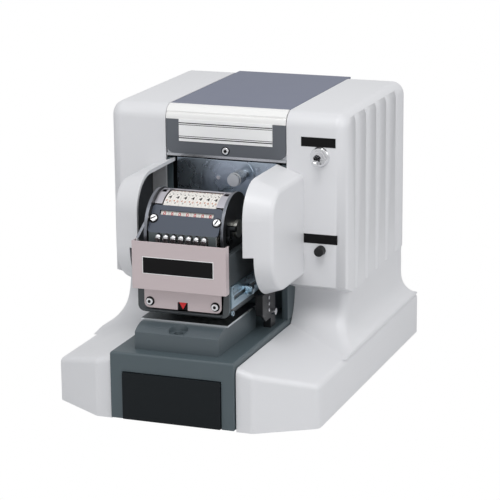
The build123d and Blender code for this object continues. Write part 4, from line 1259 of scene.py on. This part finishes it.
@dataclass
class Controls(Dresser):
    """Power switch, start button and their bare labels.

    Attributes:
        wall_y: depth of the cover's face that carries the labels.
        switch_label: width, height, x and height above the edge of the switch's label.
        start_label: the same of the start button's label.
        label_rise: their thickness.
    """

    wall_y: float = 144.0
    switch_label: tuple[float, float, float, float] = (34.0, 9.0, 93.0, 242.6)
    start_label: tuple[float, float, float, float] = (33.5, 9.0, 95.2, 149.5)
    label_rise: float = 0.2

    def build(self) -> None:
        """Dresses the controls."""
        self.skins(["switch_bushing", "toggle_lever"], CHROME, degrees=26.0)
        self.skins(["start_button"], BLACK_PLASTIC, degrees=26.0)
        for name, sizes in (("switch_label", self.switch_label), ("start_label", self.start_label)):
            self.plate(name, rectangle(*sizes), self.wall_y, "root", LABEL_BLACK_AND_SHADOW, self.label_rise)


# --------------------------------------------------------------------------- stage
@dataclass(frozen=True)
class Lamp:
    """Soft square lamp.

    Attributes:
        name: object name.
        power: watts.
        size: side in metres.
        at: its place.
        aim: height above the origin of the point that it faces.
    """

    name: str
    power: float
    size: float
    at: tuple[float, float, float]
    aim: float


@dataclass
class Studio:
    """Floor, soft lights and the camera at the photograph's angle.

    Attributes:
        target: point that the camera looks at, in metres.
        distance: from the camera to that point.
        azimuth: degrees to the right of the front.
        elevation: degrees above the horizon.
        roll: degrees about the view line.
        lens: focal length for a 36 mm sensor.
        floor_half: half the side of the floor.
        card: how light the floor is as a grey card.
        ambient: strength of the light from all round.
        gloss_share: share of white that gloss shows in place of that light.
        lamps: the lamps.
    """

    target: tuple[float, float, float] = (0.01291, -0.00852, 0.1298)
    distance: float = 2.0254
    azimuth: float = 20.51
    elevation: float = 14.67
    roll: float = -0.52
    lens: float = 149.7
    floor_half: float = 6.0
    card: float = 0.8
    ambient: float = 0.5
    gloss_share: float = 0.5
    lamps: tuple[Lamp, ...] = (
        Lamp("front", 10.5, 0.7, (0.25, -0.9, 1.6), 0.2),
        Lamp("left", 4.0, 1.2, (-1.0, -1.5, 1.7), 0.12),
        Lamp("right", 6.4, 1.0, (1.5, -0.3, 1.2), 0.2),
    )

    def camera(self) -> None:
        """Makes the camera and sets it as the scene's."""
        a, e = math.radians(self.azimuth), math.radians(self.elevation)
        back = Vector((math.sin(a) * math.cos(e), -math.cos(a) * math.cos(e), math.sin(e)))
        data = bpy.data.cameras.new("camera")
        data.lens = self.lens
        data.sensor_width = 36.0
        camera = bpy.data.objects.new("camera", data)
        bpy.context.scene.collection.objects.link(camera)
        turn = (-back).to_track_quat("-Z", "Y").to_matrix().to_4x4()
        roll = Matrix.Rotation(math.radians(self.roll), 4, "Z")
        camera.matrix_world = Matrix.Translation(Vector(self.target) + back * self.distance) @ turn @ roll
        bpy.context.scene.camera = camera

    def floor(self) -> None:
        """Plain pale floor: white to the camera, a grey card to the light."""
        mesh = bpy.data.meshes.new("floor")
        corners = rectangle(2.0 * self.floor_half, 2.0 * self.floor_half)
        mesh.from_pydata([(x, y, 0.0) for x, y in corners], [], [(0, 1, 2, 3)])
        floor = bpy.data.objects.new("floor", mesh)
        bpy.context.scene.collection.objects.link(floor)
        material = bpy.data.materials.new("floor")
        material.use_nodes = True
        tree = material.node_tree
        shader = tree.nodes["Principled BSDF"]
        grey = (self.card, self.card, self.card, 1.0)
        feed(tree, shader, {"Base Color": grey, "Roughness": 0.9, "Specular IOR Level": 0.0})
        white = add_node(tree, "Emission", {"Color": (1.0, 1.0, 1.0, 1.0), "Strength": 1.0})
        mix = add_node(tree, "MixShader", {
            "Fac": light_path(tree, "Is Camera Ray"),
            1: shader.outputs["BSDF"],
            2: white.outputs["Emission"],
        })
        feed(tree, tree.nodes["Material Output"], {"Surface": mix.outputs[0]})
        mesh.materials.append(material)
        floor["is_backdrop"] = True

    def world(self) -> None:
        """White surroundings for the camera, a soft grey for the light, and between them in gloss."""
        world = bpy.data.worlds.new("surroundings")
        bpy.context.scene.world = world
        world.use_nodes = True
        tree = world.node_tree
        tree.nodes.clear()
        seen = add_node(tree, "Background", {"Color": (1.0, 1.0, 1.0, 1.0), "Strength": 1.0})
        light = add_node(tree, "Background", {"Color": (0.95, 0.97, 1.0, 1.0), "Strength": self.ambient})
        share = math_node(
            tree,
            "MULTIPLY_ADD",
            light_path(tree, "Is Glossy Ray"),
            self.gloss_share,
            light_path(tree, "Is Camera Ray"),
        )
        mix = add_node(tree, "MixShader", {"Fac": share, 1: light.outputs[0], 2: seen.outputs[0]})
        add_node(tree, "OutputWorld", {"Surface": mix.outputs[0]})

    @staticmethod
    def hang(lamp: Lamp) -> None:
        """Hangs a lamp and turns it to its aim."""
        data = bpy.data.lights.new(lamp.name, "AREA")
        data.energy = lamp.power
        data.size = lamp.size
        holder = bpy.data.objects.new(lamp.name, data)
        bpy.context.scene.collection.objects.link(holder)
        line = Vector((0.0, 0.0, lamp.aim)) - Vector(lamp.at)
        turn = line.to_track_quat("-Z", "Y").to_matrix().to_4x4()
        holder.matrix_world = Matrix.Translation(Vector(lamp.at)) @ turn

    def build(self) -> None:
        """Sets the stage."""
        self.floor()
        self.world()
        for lamp in self.lamps:
            self.hang(lamp)
        self.camera()
        bpy.context.scene.view_settings.view_transform = "Standard"


def record_size(moment: str, sizes: dict[str, list[list[float]]]) -> None:
    """Keeps the shown object's box at one moment.

    Args:
        moment: name of the moment.
        sizes: boxes kept so far, as lowest and highest corner in metres.
    """
    low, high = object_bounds()
    sizes[moment] = [list(low), list(high)]


def main() -> None:
    """Builds and dresses the object, then sets the stage."""
    logging.basicConfig(level=logging.INFO, format="%(message)s")
    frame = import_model()
    sizes: dict[str, list[list[float]]] = {}
    record_size("loaded", sizes)
    wardrobe = Wardrobe()
    for part in (Housing, Bed, Drive, NumberingHead, WheelFigures, Controls):
        part(frame, wardrobe).build()
        LOG.info("dressed: %s", part.__name__)
    Studio().build()
    record_size("finished", sizes)


if __name__ == "__main__":
    main()
